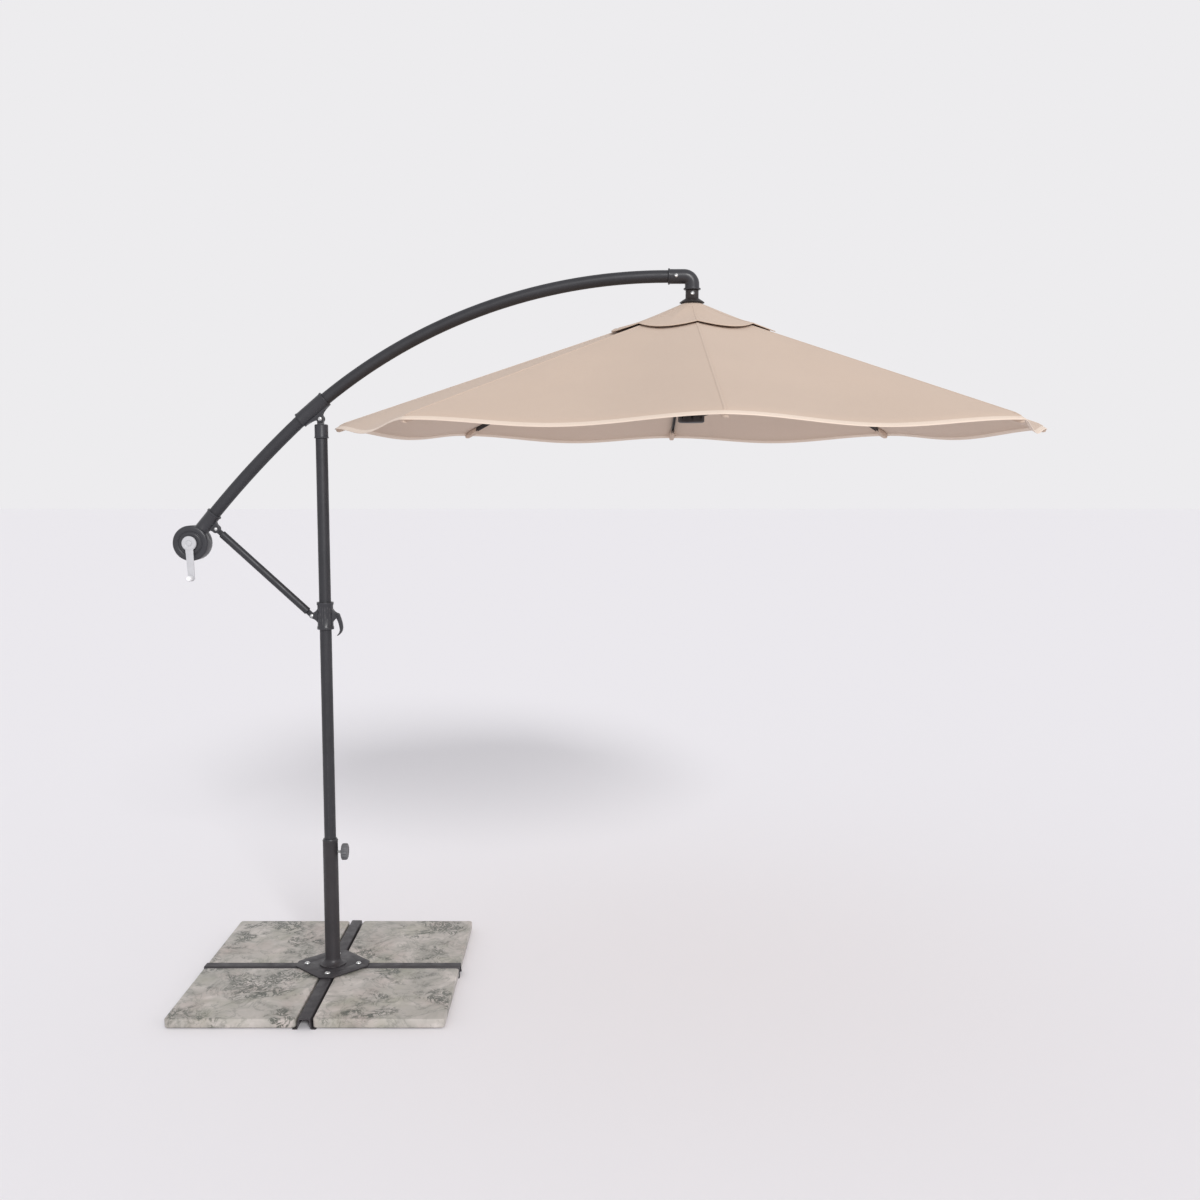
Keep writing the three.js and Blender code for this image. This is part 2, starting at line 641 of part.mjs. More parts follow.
function collar() {
  const { height, bore, waist, rim, rimHeight } = COLLAR;
  const waistFrom = rimHeight + 4;
  const body = turned([
    [0, 0],
    [rim, 0],
    [rim, rimHeight],
    [waist, waistFrom],
    [waist, height - waistFrom],
    [rim, height - rimHeight],
    [rim, height],
    [0, height],
  ]);
  const pivotZ = STRUT_FOOT.z - COLLAR.bottom;
  const lug = (x, radius, spread) => {
    const side = Math.sign(x);
    const shape = new THREE.Shape();
    shape.moveTo(side * (bore + 1), pivotZ - spread);
    shape.quadraticCurveTo(side * (waist + 5), pivotZ - radius - 5, x, pivotZ - radius);
    shape.absarc(x, pivotZ, radius, -Math.PI / 2, Math.PI / 2, side < 0);
    shape.quadraticCurveTo(side * (waist + 5), pivotZ + radius + 5, side * (bore + 1), pivotZ + spread);
    shape.closePath();
    return shape;
  };
  const strutLug = plateXZ(lug(STRUT_FOOT.x, 10, 28), -LUG.cheek, LUG.cheek, 6);
  const leverLug = plateXZ(lug(LEVER_PIVOT.x, 9, 28), -LEVER.cheek, LEVER.cheek, 6);
  const slots = [
    boxAt([-90, -LUG.slot, 0], [-waist - 3, LUG.slot, height]),
    boxAt([waist + 4, -LEVER.slot, 0], [90, LEVER.slot, height]),
  ];
  const holes = [
    pinAlongY(LUG.hole, -20, 20, { x: STRUT_FOOT.x, z: pivotZ }),
    pinAlongY(LUG.hole, -20, 20, { x: LEVER_PIVOT.x, z: pivotZ }),
  ];
  return cut(join(body, strutLug, leverLug), ...slots, ...holes, disc(bore, -1, height + 1));
}

// A hooked lever that hangs from its pivot and curls back towards the mast, with its own pin.
function lever() {
  const { head, half, cheek } = LEVER;
  const shape = new THREE.Shape();
  shape.moveTo(-head * 0.35, -head * 0.94);
  shape.bezierCurveTo(2, -20, 8, -38, 9, -56);
  shape.quadraticCurveTo(7, -68, -3, -76);
  shape.quadraticCurveTo(0, -79, 4, -76);
  shape.quadraticCurveTo(19, -66, 21, -48);
  shape.bezierCurveTo(21, -32, 17, -16, head, 0);
  shape.absarc(0, 0, head, 0, Math.PI * 1.35, false);
  shape.closePath();
  const stub = pinAlongY(LUG.pin, -cheek - 3, cheek + 3, { x: 0, z: 0 });
  return join(plateXZ(shape, -half, half, 6), stub);
}

function addTilt() {
  const top = [STRUT_TOP.x, 0, STRUT_TOP.z];
  const foot = [STRUT_FOOT.x, 0, STRUT_FOOT.z];
  node("strut", strut(), "powderCoat", root, top, [0, -strutAngle, 0]);
  node("strut_upper_pin", pin(LUG.pin, LUG.head, LUG.cheek), "zinc", root, top, alongY);
  node("strut_lower_pin", pin(LUG.pin, LUG.head, LUG.cheek), "zinc", root, foot, alongY);
  node("collar", collar(), "plastic", root, [0, 0, COLLAR.bottom]);
  node("collar_lever", lever(), "plastic", root, [LEVER_PIVOT.x, 0, LEVER_PIVOT.z]);
}

// ---------------------------------------------------------------- canopy frame
const runnerDrop = 2 * STRETCHER.length * Math.sin(slope);

const stemTop = ELBOW.bottom - GAP - HUB.z;

// Eight radial slots, from the pins' seats out past the edge.
function spokeSlots(from, bottom, top) {
  const one = boxAt([from, -SLOT, bottom], [2 * HUB.radius, SLOT, top]);
  return Array.from({ length: CANOPY.ribs }, (_, i) => one.rotate([0, 0, (360 * i) / CANOPY.ribs]));
}

function hub() {
  const { radius, above, below, core, neck } = HUB;
  const stemFoot = stemTop - STEM.height;
  const spigot = ELBOW.bore - 2;
  const spigotTop = stemTop + STEM.spigot;
  const body = turned([
    [0, -below],
    [radius, -below],
    [radius, above],
    [neck, above],
    [neck, stemFoot],
    [STEM.radius, stemFoot],
    [STEM.radius, stemTop],
    [spigot, stemTop],
    [spigot, spigotTop],
    [0, spigotTop],
  ]);
  const screwPlace = { x: 0, z: stemTop - STEM.screwDepth };
  const screwHead = pinAlongY(STEM.screwHead, -STEM.radius - 3, -STEM.radius + 2, screwPlace);
  const cordBore = disc(STEM.cordBore, -below - 1, spigotTop + 1, 12);
  return cut(join(body, screwHead), cordBore, ...spokeSlots(core, -below - 1, above + 1));
}

function domeCap() {
  const { radius, rise, edge } = DOME;
  const inner = STEM.radius + GAP;
  const high = stemTop - STEM.height + DOME.overlap;
  const shoulder = 0.77 * radius;
  return turned([
    [inner, high],
    [inner, high - 4],
    [shoulder - 2, high - 0.56 * rise],
    [radius - edge, high - rise],
    [radius, high - rise + edge],
    [shoulder, high - 0.44 * rise],
    [inner + 2, high],
    [inner, high],
  ]);
}

function runner() {
  const { radius, below, floor, above, core } = RUNNER;
  const chamfer = [[radius - 6, -below], [radius, 4 - below]];
  const body = turned([[0, -below], ...chamfer, [radius, above], [0, above]]);
  return cut(body, ...spokeSlots(core, -floor, above + 1));
}

// An inverted channel along +X from the hub's pivot, with a flat eye inside it.
function rib() {
  const { end, width, above, below, wall, start, tab } = RIB;
  const channel = cut(
    boxAt([start, -width, -below], [end, width, above]),
    boxAt([start - 1, wall - width, -below - 1], [end + 1, width - wall, above - wall]),
  );
  const shape = new THREE.Shape();
  shape.moveTo(start + 20, -below);
  shape.lineTo(start + 20, above - wall / 2);
  shape.lineTo(start, above - wall / 2);
  shape.lineTo(6, 6);
  shape.absarc(0, 0, 8, Math.PI / 4, 1.5 * Math.PI, false);
  shape.lineTo(start, -below);
  shape.closePath();
  return join(channel, plateXZ(shape, -tab, tab, 5));
}

// An inverted channel along +X from the runner's pivot, whose sides run on as a fork round the rib.
function stretcher() {
  const { length, width, half, wall, start, fork } = STRETCHER;
  const inner = width - wall;
  const shape = new THREE.Shape();
  shape.moveTo(start, -half);
  shape.lineTo(length, -half);
  shape.absarc(length, 0, half, -Math.PI / 2, Math.PI / 2, false);
  shape.lineTo(start, half);
  shape.closePath();
  const channel = cut(
    plateXZ(shape, -width, width, 4),
    boxAt([start - 1, -inner, -half - 1], [length - fork, inner, half - wall]),
    boxAt([length - fork, -inner, -half - 1], [length + 2 * half, inner, half + 1]),
  );
  const eye = new THREE.Shape();
  eye.moveTo(start + 20, -half);
  eye.lineTo(start + 20, half - wall / 2);
  eye.lineTo(6, half - wall / 2);
  eye.absarc(0, 0, 8, Math.PI / 4, 1.75 * Math.PI, false);
  eye.lineTo(start, -half);
  eye.closePath();
  return join(channel, plateXZ(eye, -RIB.tab, RIB.tab, 5));
}

// ---------------------------------------------------------------- canopy cloth
// The cloth is cut here into eight sectors, one on each rib, that meet half way between the ribs.

// Half of a gore as a flat plate, from its rib to the line half way to the next rib. The apex of its
// cone is at the origin and the line of the rib is along +X, and a hem that rises is hollow.
function halfGore(innerRadius, outerRadius, goreSlope, hemRise) {
  const tilt = Math.atan(Math.sin(goreSlope) * Math.tan(spokeTurn / 2));
  const ribsApart = Math.acos(Math.cos(goreSlope) ** 2 * Math.cos(spokeTurn) + Math.sin(goreSlope) ** 2);
  const inner = innerRadius / Math.cos(goreSlope);
  const outer = outerRadius / Math.cos(goreSlope);
  const seamAngle = ribsApart / 2 - GAP / 2 / outer;
  const [c, s] = [Math.cos(seamAngle), Math.sin(seamAngle)];
  const middle = outer * c - hemRise;
  const pull = HEM_PULL * outer * s;
  const overlap = 0.8; // past the rib's centre, so that the two halves are one cloth
  const shape = new THREE.Shape();
  shape.moveTo(inner, -overlap);
  shape.lineTo(outer, -overlap);
  shape.quadraticCurveTo(middle * c + pull * s, middle * s - pull * c, middle * c, middle * s);
  shape.lineTo(inner * c * c, inner * c * s);
  shape.closePath();
  const options = { depth: CANOPY.cloth, bevelEnabled: false, curveSegments: 5 };
  return solid(new THREE.ExtrudeGeometry(shape, options).rotateX(-tilt));
}

// A place at a distance from the canopy's axis and above the hub's pivots, in the frame of a rib,
// whose X axis runs along the rib.
function onRib(radius, rise) {
  const [out, up] = [radius - HUB.pivot, rise];
  return [out * Math.cos(slope) - up * Math.sin(slope), out * Math.sin(slope) + up * Math.cos(slope)];
}

// One cone's sector over a rib, in the frame of the rib, from how high the cone's apex is.
function clothSector(half, goreSlope, apexRise) {
  const [along, up] = onRib(0, apexRise);
  const whole = half.add(half.mirror([0, 1, 0]));
  return whole.rotate([0, THREE.MathUtils.radToDeg(goreSlope - slope), 0]).translate(along, 0, up);
}

function canopySector() {
  const mainApex = HUB.pivot * Math.tan(slope) + (RIB.above + RIB.clothGap) / Math.cos(slope);
  const ventSlope = rad(VENT.slope);
  const mainHalf = halfGore(CANOPY.opening, CANOPY.radius, slope, CANOPY.hemRise);
  const ventHalf = halfGore(VENT.inner, VENT.radius, ventSlope, VENT.hemRise);
  const main = clothSector(mainHalf, slope, mainApex);
  const vent = clothSector(ventHalf, ventSlope, VENT.apexRise);
  const place = (radius, apex, fall) => onRib(radius, apex + CANOPY.cloth / 2 - radius * Math.tan(fall));
  const { half, from, to } = VENT_SEAM;
  const seam = polygon([
    place(from, mainApex, slope),
    place(to, mainApex, slope),
    place(to, VENT.apexRise, ventSlope),
    place(from, VENT.apexRise, ventSlope),
  ]);
  return join(main, vent, plateXZ(seam, -half, half));
}

function addCanopy() {
  const centre = group(root, [CANOPY.x, 0, HUB.z]);
  node("hub", hub(), "ribSteel", centre);
  node("dome_cap", domeCap(), "ribSteel", centre);
  node("runner", runner(), "ribSteel", centre, [0, 0, -runnerDrop]);
  for (let i = 0; i < CANOPY.ribs; i += 1) {
    const spoke = group(centre, [0, 0, 0], [0, 0, i * spokeTurn]);
    const ribFrame = group(spoke, [HUB.pivot, 0, 0], [0, slope, 0]);
    node(`rib_${i + 1}`, rib(), "ribSteel", ribFrame);
    node(`canopy_${i + 1}`, canopySector(), "cloth", ribFrame);
    node(`stretcher_${i + 1}`, stretcher(), "ribSteel", spoke, [HUB.pivot, 0, -runnerDrop], [0, -slope, 0]);
  }
}

// ---------------------------------------------------------------- lift cord
// From the runner up through the hub, round the elbow, down inside the boom, and on to the spool.
function liftCord() {
  const startZ = HUB.z - runnerDrop + RUNNER.above + GAP;
  const bendFrom = BOOM.crownZ - ELBOW.bend;
  const away = Math.hypot(DRUM.x - boomFoot.x, DRUM.z - boomFoot.z);
  const towards = Math.atan2(DRUM.z - boomFoot.z, DRUM.x - boomFoot.x) + 2 * Math.PI;
  const seat = SPOOL.core + CORD.radius + 3;
  const aim = towards - Math.asin(seat / away) - boomFoot.heading;
  const route = new Route({ x: CANOPY.x, z: startZ }, 90, [
    [bendFrom - startZ, 0],
    [ELBOW.bend * (Math.PI / 2), 90],
    [CANOPY.x - ELBOW.bend - BOOM.crownX, 0],
    ...boomRoute.stretches.slice(1),
    [CORD.blend, THREE.MathUtils.radToDeg(aim)],
    [Math.sqrt(away ** 2 - seat ** 2) - CORD.blend, 0],
  ]);
  return swept(route, CORD.radius, 0, 60, 6);
}

addBase();
addMast();
addBoom();
addCrank();
addTilt();
addCanopy();
node("lift_cord", liftCord(), "cord");

export default root;
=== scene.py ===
import json
import math

import bmesh
import bpy
from mathutils import Matrix, Vector, noise


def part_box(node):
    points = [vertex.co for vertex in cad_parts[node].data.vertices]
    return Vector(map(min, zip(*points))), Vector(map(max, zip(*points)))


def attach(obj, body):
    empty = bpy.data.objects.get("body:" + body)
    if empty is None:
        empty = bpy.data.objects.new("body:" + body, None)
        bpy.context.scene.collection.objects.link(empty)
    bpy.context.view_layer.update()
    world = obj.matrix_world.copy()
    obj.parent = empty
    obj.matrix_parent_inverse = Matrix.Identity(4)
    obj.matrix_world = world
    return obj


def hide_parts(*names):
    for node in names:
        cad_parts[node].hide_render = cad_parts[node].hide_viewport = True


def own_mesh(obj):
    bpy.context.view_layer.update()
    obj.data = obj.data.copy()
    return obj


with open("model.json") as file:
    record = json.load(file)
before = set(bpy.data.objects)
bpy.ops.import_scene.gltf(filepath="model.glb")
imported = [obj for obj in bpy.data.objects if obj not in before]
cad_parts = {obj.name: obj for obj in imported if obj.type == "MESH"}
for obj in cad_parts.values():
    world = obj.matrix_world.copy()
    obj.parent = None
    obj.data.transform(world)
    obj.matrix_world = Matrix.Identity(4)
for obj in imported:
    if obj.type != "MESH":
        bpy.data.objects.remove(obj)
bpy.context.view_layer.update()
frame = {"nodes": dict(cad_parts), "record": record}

# ---------------------------------------------------------------- driving dimensions
SLAB = {"side": 0.470, "thickness": 0.034, "centre": 0.265, "bottom": 0.0039, "corner": 0.014}
BAR = {"half": 0.503, "height": 0.040, "web": 0.021, "spread": 0.028, "foot": 0.043, "wall": 0.0035}
SLEEVE = {"bore": 0.0258, "radius": 0.029, "foot": 0.0458, "top": 0.545, "flange": 0.052}
CLAMP = {"z": 0.497, "radius": 0.031, "lobes": 16, "lobe_depth": 0.0013, "near": 0.044, "far": 0.068}
BUTT_GAP = 0.0004  # between the long bar's foot and a half bar's end
MAST = {"radius": 0.0225, "bore": 0.0207, "foot": 0.0458, "top": 2.099}
BOOM = {"radius": 0.0233, "bore": 0.0213, "start": (1.357, 2.699), "straight": 0.0532}
BOOM_ARCS = [(2.055, 42.86), (3.784, 7.4)]  # radius and the degrees that the tube turns through
ELBOW = {"start": 1.307, "radius": 0.027, "bore": 0.0239, "bend": 0.030, "bottom": 2.650, "ring": 0.006}
ELBOW_RINGS = {"upper": 0.030, "lower": 0.032}
DRUM = {"x": -0.499, "z": 1.704, "radius": 0.067, "front": -0.0294, "axle": 0.0074}
CRANK = {"arm": 0.131, "lean": 2.8, "hub": 0.028, "tip": 0.0125, "back": -0.043, "face": -0.054}
GRIP = {"radius": 0.011, "bore": 0.0039, "base": -0.0534, "length": 0.038}
STRUT = {"top": (-0.408, 1.757), "foot": (-0.050, 1.425), "radius": 0.0145, "eye": 0.010}
STRUT_INSETS = {"top": 0.029, "foot": 0.024}
COLLAR = {"bottom": 1.373, "height": 0.104, "waist": 0.0298}

CANOPY_X = 1.397
RIBS = 8
HALF_GORE = math.pi / RIBS
MAIN = {"inner": 0.170, "outer": 1.345, "top": 2.5913, "fall": 0.3327, "hollow": 0.002, "sag": 0.008}
VENT = {"inner": 0.031, "outer": 0.290, "top": 2.6138, "fall": 0.3720, "hollow": -0.048, "sag": 0.010}
RIM = {"slack": 0.029, "turned_down": 0.009, "from": 0.974}  # how the cloth hangs towards its hem
CLOTH = 0.0012
HEM = {"main": 0.017, "vent": 0.008, "thickness": 0.0034}

CAMERA = {"place": (1.0528, -4.8851, 1.9814), "down": 5.804, "lens": 38.465}
SUN_TRAVEL = Vector((-1.42, 4.1, -2.3))


# ---------------------------------------------------------------- mesh helpers
def circle(radius, sides, lobes=0, depth=0.0):
    turns = [2 * math.pi * i / sides for i in range(sides)]
    sizes = [radius + depth * math.cos(lobes * turn) for turn in turns]
    return [(size * math.cos(turn), size * math.sin(turn)) for size, turn in zip(sizes, turns)]


def rounded(points, radius, steps=3, closed=False):
    """A 2-D outline with each corner rounded by up to a radius."""
    corners = [Vector(point) for point in points]
    result = []
    for i, corner in enumerate(corners):
        if not closed and i in (0, len(corners) - 1):
            result.append(corner)
            continue
        before, after = corners[i - 1], corners[(i + 1) % len(corners)]
        reach = min(radius, (before - corner).length * 0.45, (after - corner).length * 0.45)
        start = corner + (before - corner).normalized() * reach
        end = corner + (after - corner).normalized() * reach
        for step in range(steps + 1):
            t = step / steps
            result.append(start.lerp(corner, t).lerp(corner.lerp(end, t), t))
    return result


def skin(rings, loop=False):
    """Points and faces through rings of equally many points, with capped ends unless they loop."""
    count = len(rings[0])
    points = [Vector(point) for ring in rings for point in ring]
    faces = []
    for i in range(len(rings) if loop else len(rings) - 1):
        a, b = i * count, (i + 1) % len(rings) * count
        for j in range(count):
            k = (j + 1) % count
            faces.append((a + j, a + k, b + k, b + j))
    if not loop:
        faces.append(tuple(reversed(range(count))))
        faces.append(tuple(range(len(points) - count, len(points))))
    return points, faces


def shade(mesh, angle=35):
    mesh.shade_smooth()
    mesh.set_sharp_from_angle(angle=math.radians(angle))


def mesh_object(name, parts, angle=35):
    """One object from several skins."""
    points, faces = [], []
    for part_points, part_faces in parts:
        start = len(points)
        points += part_points
        faces += [tuple(start + index for index in face) for face in part_faces]
    mesh = bpy.data.meshes.new(name)
    mesh.from_pydata(points, [], faces)
    shape = bmesh.new()
    shape.from_mesh(mesh)
    bmesh.ops.recalc_face_normals(shape, faces=shape.faces)
    shape.to_mesh(mesh)
    shape.free()
    shade(mesh, angle)
    made = bpy.data.objects.new(name, mesh)
    bpy.context.scene.collection.objects.link(made)
    return made


def along(axis, place=(0, 0, 0)):
    """A matrix that lays +Z along an axis, at a place."""
    turn = Vector((0, 0, 1)).rotation_difference(Vector(axis)).to_matrix().to_4x4()
    return Matrix.Translation(place) @ turn


def turned(profile, sides=64, matrix=None, loop=False):
    """A surface turned about +Z from radius and height pairs."""
    matrix = matrix or Matrix.Identity(4)
    rings = []
    for radius, height in profile:
        ring = circle(max(radius, 0.00005), sides)
        rings.append([matrix @ Vector((x, y, height)) for x, y in ring])
    return skin(rings, loop)


class Route:
    """A path in the X-Z plane made of straight and round stretches, each (length, degrees turned)."""

    def __init__(self, start, heading, stretches):
        self.start = start
        self.heading = math.radians(heading)
        self.stretches = stretches
        self.total = sum(length for length, _ in stretches)

    def at(self, distance):
        (x, z), heading, left = self.start, self.heading, distance
        for i, (length, degrees) in enumerate(self.stretches):
            is_last = i == len(self.stretches) - 1
            step = left if is_last or left < 0 else min(left, length)
            turn = math.radians(degrees) * step / length
            chord = 2 * step * math.sin(turn / 2) / turn if abs(turn) > 1e-9 else step
            x += chord * math.cos(heading + turn / 2)
            z += chord * math.sin(heading + turn / 2)
            heading += turn
            left -= step
            if left <= 0:
                break
        return Vector((x, 0, z)), heading

    def ring(self, distance, radius, sides):
        centre, heading = self.at(distance)
        upright = Vector((-math.sin(heading), 0, math.cos(heading)))
        return [centre + upright * a + Vector((0, b, 0)) for a, b in circle(radius, sides)]


def swept(route, profile, sides=48):
    """A closed skin along a route, from distance and radius pairs that go out and come back inside."""
    return skin([route.ring(distance, radius, sides) for distance, radius in profile], loop=True)


def plate(name, outline, near, far, edge):
    """A plate with rounded edges, from an outline in X and Z."""
    shape = bmesh.new()
    corners = [shape.verts.new((x, near, z)) for x, z in outline]
    shape.faces.new(corners)
    moved = bmesh.ops.extrude_face_region(shape, geom=list(shape.faces))
    new_points = [item for item in moved["geom"] if isinstance(item, bmesh.types.BMVert)]
    bmesh.ops.translate(shape, verts=new_points, vec=(0, far - near, 0))
    bmesh.ops.recalc_face_normals(shape, faces=shape.faces)
    bevel_sharp(shape, edge)
    return from_bmesh(name, shape)


def bevel_sharp(shape, size, segments=2, angle=35):
    limit = math.radians(angle)
    sharp = [edge for edge in shape.edges if edge.is_manifold and edge.calc_face_angle(0) > limit]
    bmesh.ops.bevel(
        shape, geom=sharp, offset=size, segments=segments, profile=0.5, affect="EDGES", clamp_overlap=True
    )


def from_bmesh(name, shape, angle=35):
    mesh = bpy.data.meshes.new(name)
    shape.to_mesh(mesh)
    shape.free()
    shade(mesh, angle)
    made = bpy.data.objects.new(name, mesh)
    bpy.context.scene.collection.objects.link(made)
    return made


def refined(node, edge=0.0008, angle=35):
    """A copy of a CAD node with its flat faces joined and its sharp edges rounded."""
    shape = bmesh.new()
    shape.from_mesh(frame["nodes"][node].data)
    bmesh.ops.remove_doubles(shape, verts=shape.verts, dist=0.00001)
    bmesh.ops.dissolve_limit(
        shape, angle_limit=math.radians(1.0), verts=shape.verts, edges=shape.edges
    )
    if edge:
        bevel_sharp(shape, edge)
    return from_bmesh(node + "_detail", shape, angle)


# ---------------------------------------------------------------- material helpers
def srgb(red, green, blue):
    def linear(value):
        share = value / 255
        return share / 12.92 if share <= 0.04045 else ((share + 0.055) / 1.055) ** 2.4

    return (linear(red), linear(green), linear(blue), 1.0)


class Look:
    """A node material being built on one Principled shader."""

    def __init__(self, name, roughness, **sockets):
        self.material = bpy.data.materials.new(name)
        self.material.use_nodes = True
        self.tree = self.material.node_tree
        self.shader = self.tree.nodes["Principled BSDF"]
        self.shader.inputs["Roughness"].default_value = roughness
        for socket, value in sockets.items():
            self.shader.inputs[socket.replace("_", " ")].default_value = value
        self.place = self.node("ShaderNodeTexCoord").outputs["Object"]

    def node(self, kind, **settings):
        made = self.tree.nodes.new(kind)
        for name, value in settings.items():
            setattr(made, name, value)
        return made

    def join(self, source, target):
        self.tree.links.new(source, target)

    def attribute(self, name):
        return self.node("ShaderNodeAttribute", attribute_name=name).outputs["Vector"]

    def stretched(self, scale, offset=(0, 0, 0), turn=(0, 0, 0), source=None):
        mapping = self.node("ShaderNodeMapping")
        mapping.inputs["Scale"].default_value = scale
        mapping.inputs["Location"].default_value = offset
        mapping.inputs["Rotation"].default_value = turn
        self.join(source or self.place, mapping.inputs["Vector"])
        return mapping.outputs["Vector"]

    def noise(self, scale, detail=3.0, roughness=0.5, distortion=0.0, source=None):
        made = self.node("ShaderNodeTexNoise")
        made.inputs["Scale"].default_value = scale
        made.inputs["Detail"].default_value = detail
        made.inputs["Roughness"].default_value = roughness
        made.inputs["Distortion"].default_value = distortion
        self.join(source or self.place, made.inputs["Vector"])
        return made.outputs[0]

    def math(self, operation, first, second=0.0):
        made = self.node("ShaderNodeMath", operation=operation)
        for value, socket in zip((first, second), made.inputs):
            if isinstance(value, (int, float)):
                socket.default_value = value
            else:
                self.join(value, socket)
        return made.outputs[0]

    def ramp(self, factor, stops):
        made = self.node("ShaderNodeValToRGB")
        elements = made.color_ramp.elements
        while len(elements) < len(stops):
            elements.new(1.0)
        for element, (position, colour) in zip(elements, stops):
            element.position = position
            element.color = colour
        self.join(factor, made.inputs["Fac"])
        return made.outputs["Color"]

    def grey(self, factor, low, high, start=0.0, end=1.0):
        return self.ramp(factor, [(start, (low, low, low, 1)), (end, (high, high, high, 1))])

    def mix(self, factor, first, second, blend="MIX"):
        made = self.node("ShaderNodeMix", data_type="RGBA", blend_type=blend)
        values = {"Factor": factor, "A": first, "B": second}
        for socket in made.inputs:
            value = values.get(socket.name)
            wanted = "VALUE" if socket.name == "Factor" else "RGBA"
            if value is None or socket.type != wanted:
                continue
            if isinstance(value, (int, float, tuple)):
                socket.default_value = value
            else:
                self.join(value, socket)
        return next(output for output in made.outputs if output.type == "RGBA")

    def paint(self, colour):
        self.join(colour, self.shader.inputs["Base Color"])

    def rough(self, value):
        self.join(value, self.shader.inputs["Roughness"])

    def bump(self, height, distance, strength=1.0, under=None):
        made = self.node("ShaderNodeBump")
        made.inputs["Distance"].default_value = distance
        made.inputs["Strength"].default_value = strength
        self.join(height, made.inputs["Height"])
        if under:
            self.join(under, made.inputs["Normal"])
        self.join(made.outputs["Normal"], self.shader.inputs["Normal"])
        return made.outputs["Normal"]

    def worn(self, colour, bare, amount):
        """The colour with its outside edges rubbed towards another, broken up by noise."""
        point = self.node("ShaderNodeNewGeometry").outputs["Pointiness"]
        edges = self.grey(point, 0.0, 1.0, 0.55, 0.63)
        broken = self.math("MULTIPLY", edges, self.grey(self.noise(90, 4), 0.0, 1.0, 0.42, 0.66))
        return self.mix(self.math("MULTIPLY", broken, amount), colour, bare)


def shades(colour, spread):
    """A darker and a lighter neighbour of a colour."""
    dark = tuple(channel * (1 - spread) for channel in colour[:3]) + (1.0,)
    light = tuple(min(1.0, channel * (1 + spread)) for channel in colour[:3]) + (1.0,)
    return dark, light


# ---------------------------------------------------------------- materials
def powder_coat(name, colour, roughness=0.42):
    """Sprayed and baked paint: an orange-peel skin with faint dust and rubbed edges."""
    look = Look(name, roughness, Metallic=0.15)
    dark, light = shades(colour, 0.14)
    cloudy = look.ramp(look.noise(7, 4), [(0.32, dark), (0.68, light)])
    speckled = look.mix(look.grey(look.noise(420, 2), 0.0, 0.12, 0.55, 0.75), cloudy, srgb(110, 110, 112))
    look.paint(look.worn(speckled, srgb(150, 148, 146), 0.35))
    look.rough(look.grey(look.noise(30, 4), roughness - 0.07, roughness + 0.12, 0.3, 0.7))
    peel = look.bump(look.noise(520, 2, 0.4), 0.00018, 0.55)
    look.bump(look.noise(60, 3), 0.0003, 0.12, peel)
    return look.material


def moulded_plastic(name, colour, roughness=0.4, grain=0.00010, scuff=0.25):
    """Injection-moulded plastic with a fine spark-eroded grain."""
    look = Look(name, roughness, IOR=1.46)
    dark, light = shades(colour, 0.09)
    flow = look.noise(5, 3, source=look.stretched((1, 1, 3)))
    look.paint(look.worn(look.ramp(flow, [(0.3, dark), (0.7, light)]), srgb(165, 165, 166), scuff))
    look.rough(look.grey(look.noise(45, 4), roughness - 0.06, roughness + 0.10, 0.3, 0.7))
    look.bump(look.noise(1500, 2, 0.6), grain, 0.6)
    return look.material


def zinc_plate(name):
    """Bright zinc plate with fine turning marks and a little grey bloom."""
    look = Look(name, 0.3, Metallic=0.85)
    bloom = look.noise(140, 4)
    look.paint(look.ramp(bloom, [(0.3, srgb(186, 188, 190)), (0.7, srgb(232, 232, 230))]))
    look.rough(look.grey(look.noise(300, 3), 0.22, 0.42, 0.3, 0.7))
    look.bump(look.noise(900, 2, source=look.stretched((1, 1, 6))), 0.00005, 0.5)
    return look.material


def woven_cloth(name, colour, stitched=False):
    """Plain-woven polyester: crossing threads, slubs, sun-fading in patches, and stitches if asked."""
    look = Look(name, 0.86, Sheen_Weight=0.12, Sheen_Roughness=0.5, Specular_IOR_Level=0.3)
    flat = look.attribute("flat")
    dark, light = shades(colour, 0.045)
    faded = look.ramp(look.noise(2.2, 4), [(0.3, dark), (0.7, light)])
    warp = look.noise(26, 3, source=look.stretched((30, 1, 1), source=flat))
    weft = look.noise(26, 3, source=look.stretched((1, 30, 1), source=flat))
    slubs = look.math("ADD", look.math("MULTIPLY", warp, 0.5), look.math("MULTIPLY", weft, 0.5))
    colour_out = look.mix(0.5, faded, look.ramp(slubs, [(0.35, dark), (0.65, light)]))
    threads = []
    for direction in ("X", "Y"):
        wave = look.node("ShaderNodeTexWave", bands_direction=direction)
        wave.inputs["Scale"].default_value = 330
        wave.inputs["Distortion"].default_value = 0.4
        look.join(flat, wave.inputs["Vector"])
        threads.append(wave.outputs["Fac"])
    weave = look.math("MULTIPLY", threads[0], threads[1])
    colour_out = look.mix(look.grey(weave, 0.10, 0.0), colour_out, dark)
    height = weave
    if stitched:
        thread, raised = stitching(look, flat)
        colour_out = look.mix(thread, colour_out, shades(colour, 0.35)[0])
        height = look.math("SUBTRACT", weave, raised)
    look.paint(colour_out)
    look.rough(look.grey(slubs, 0.8, 0.95, 0.3, 0.7))
    puckers = look.bump(look.noise(9, 3, source=look.stretched((3, 0.6, 1), source=flat)), 0.003, 0.35)
    look.bump(height, 0.00022, 0.6, puckers)
    return look.material


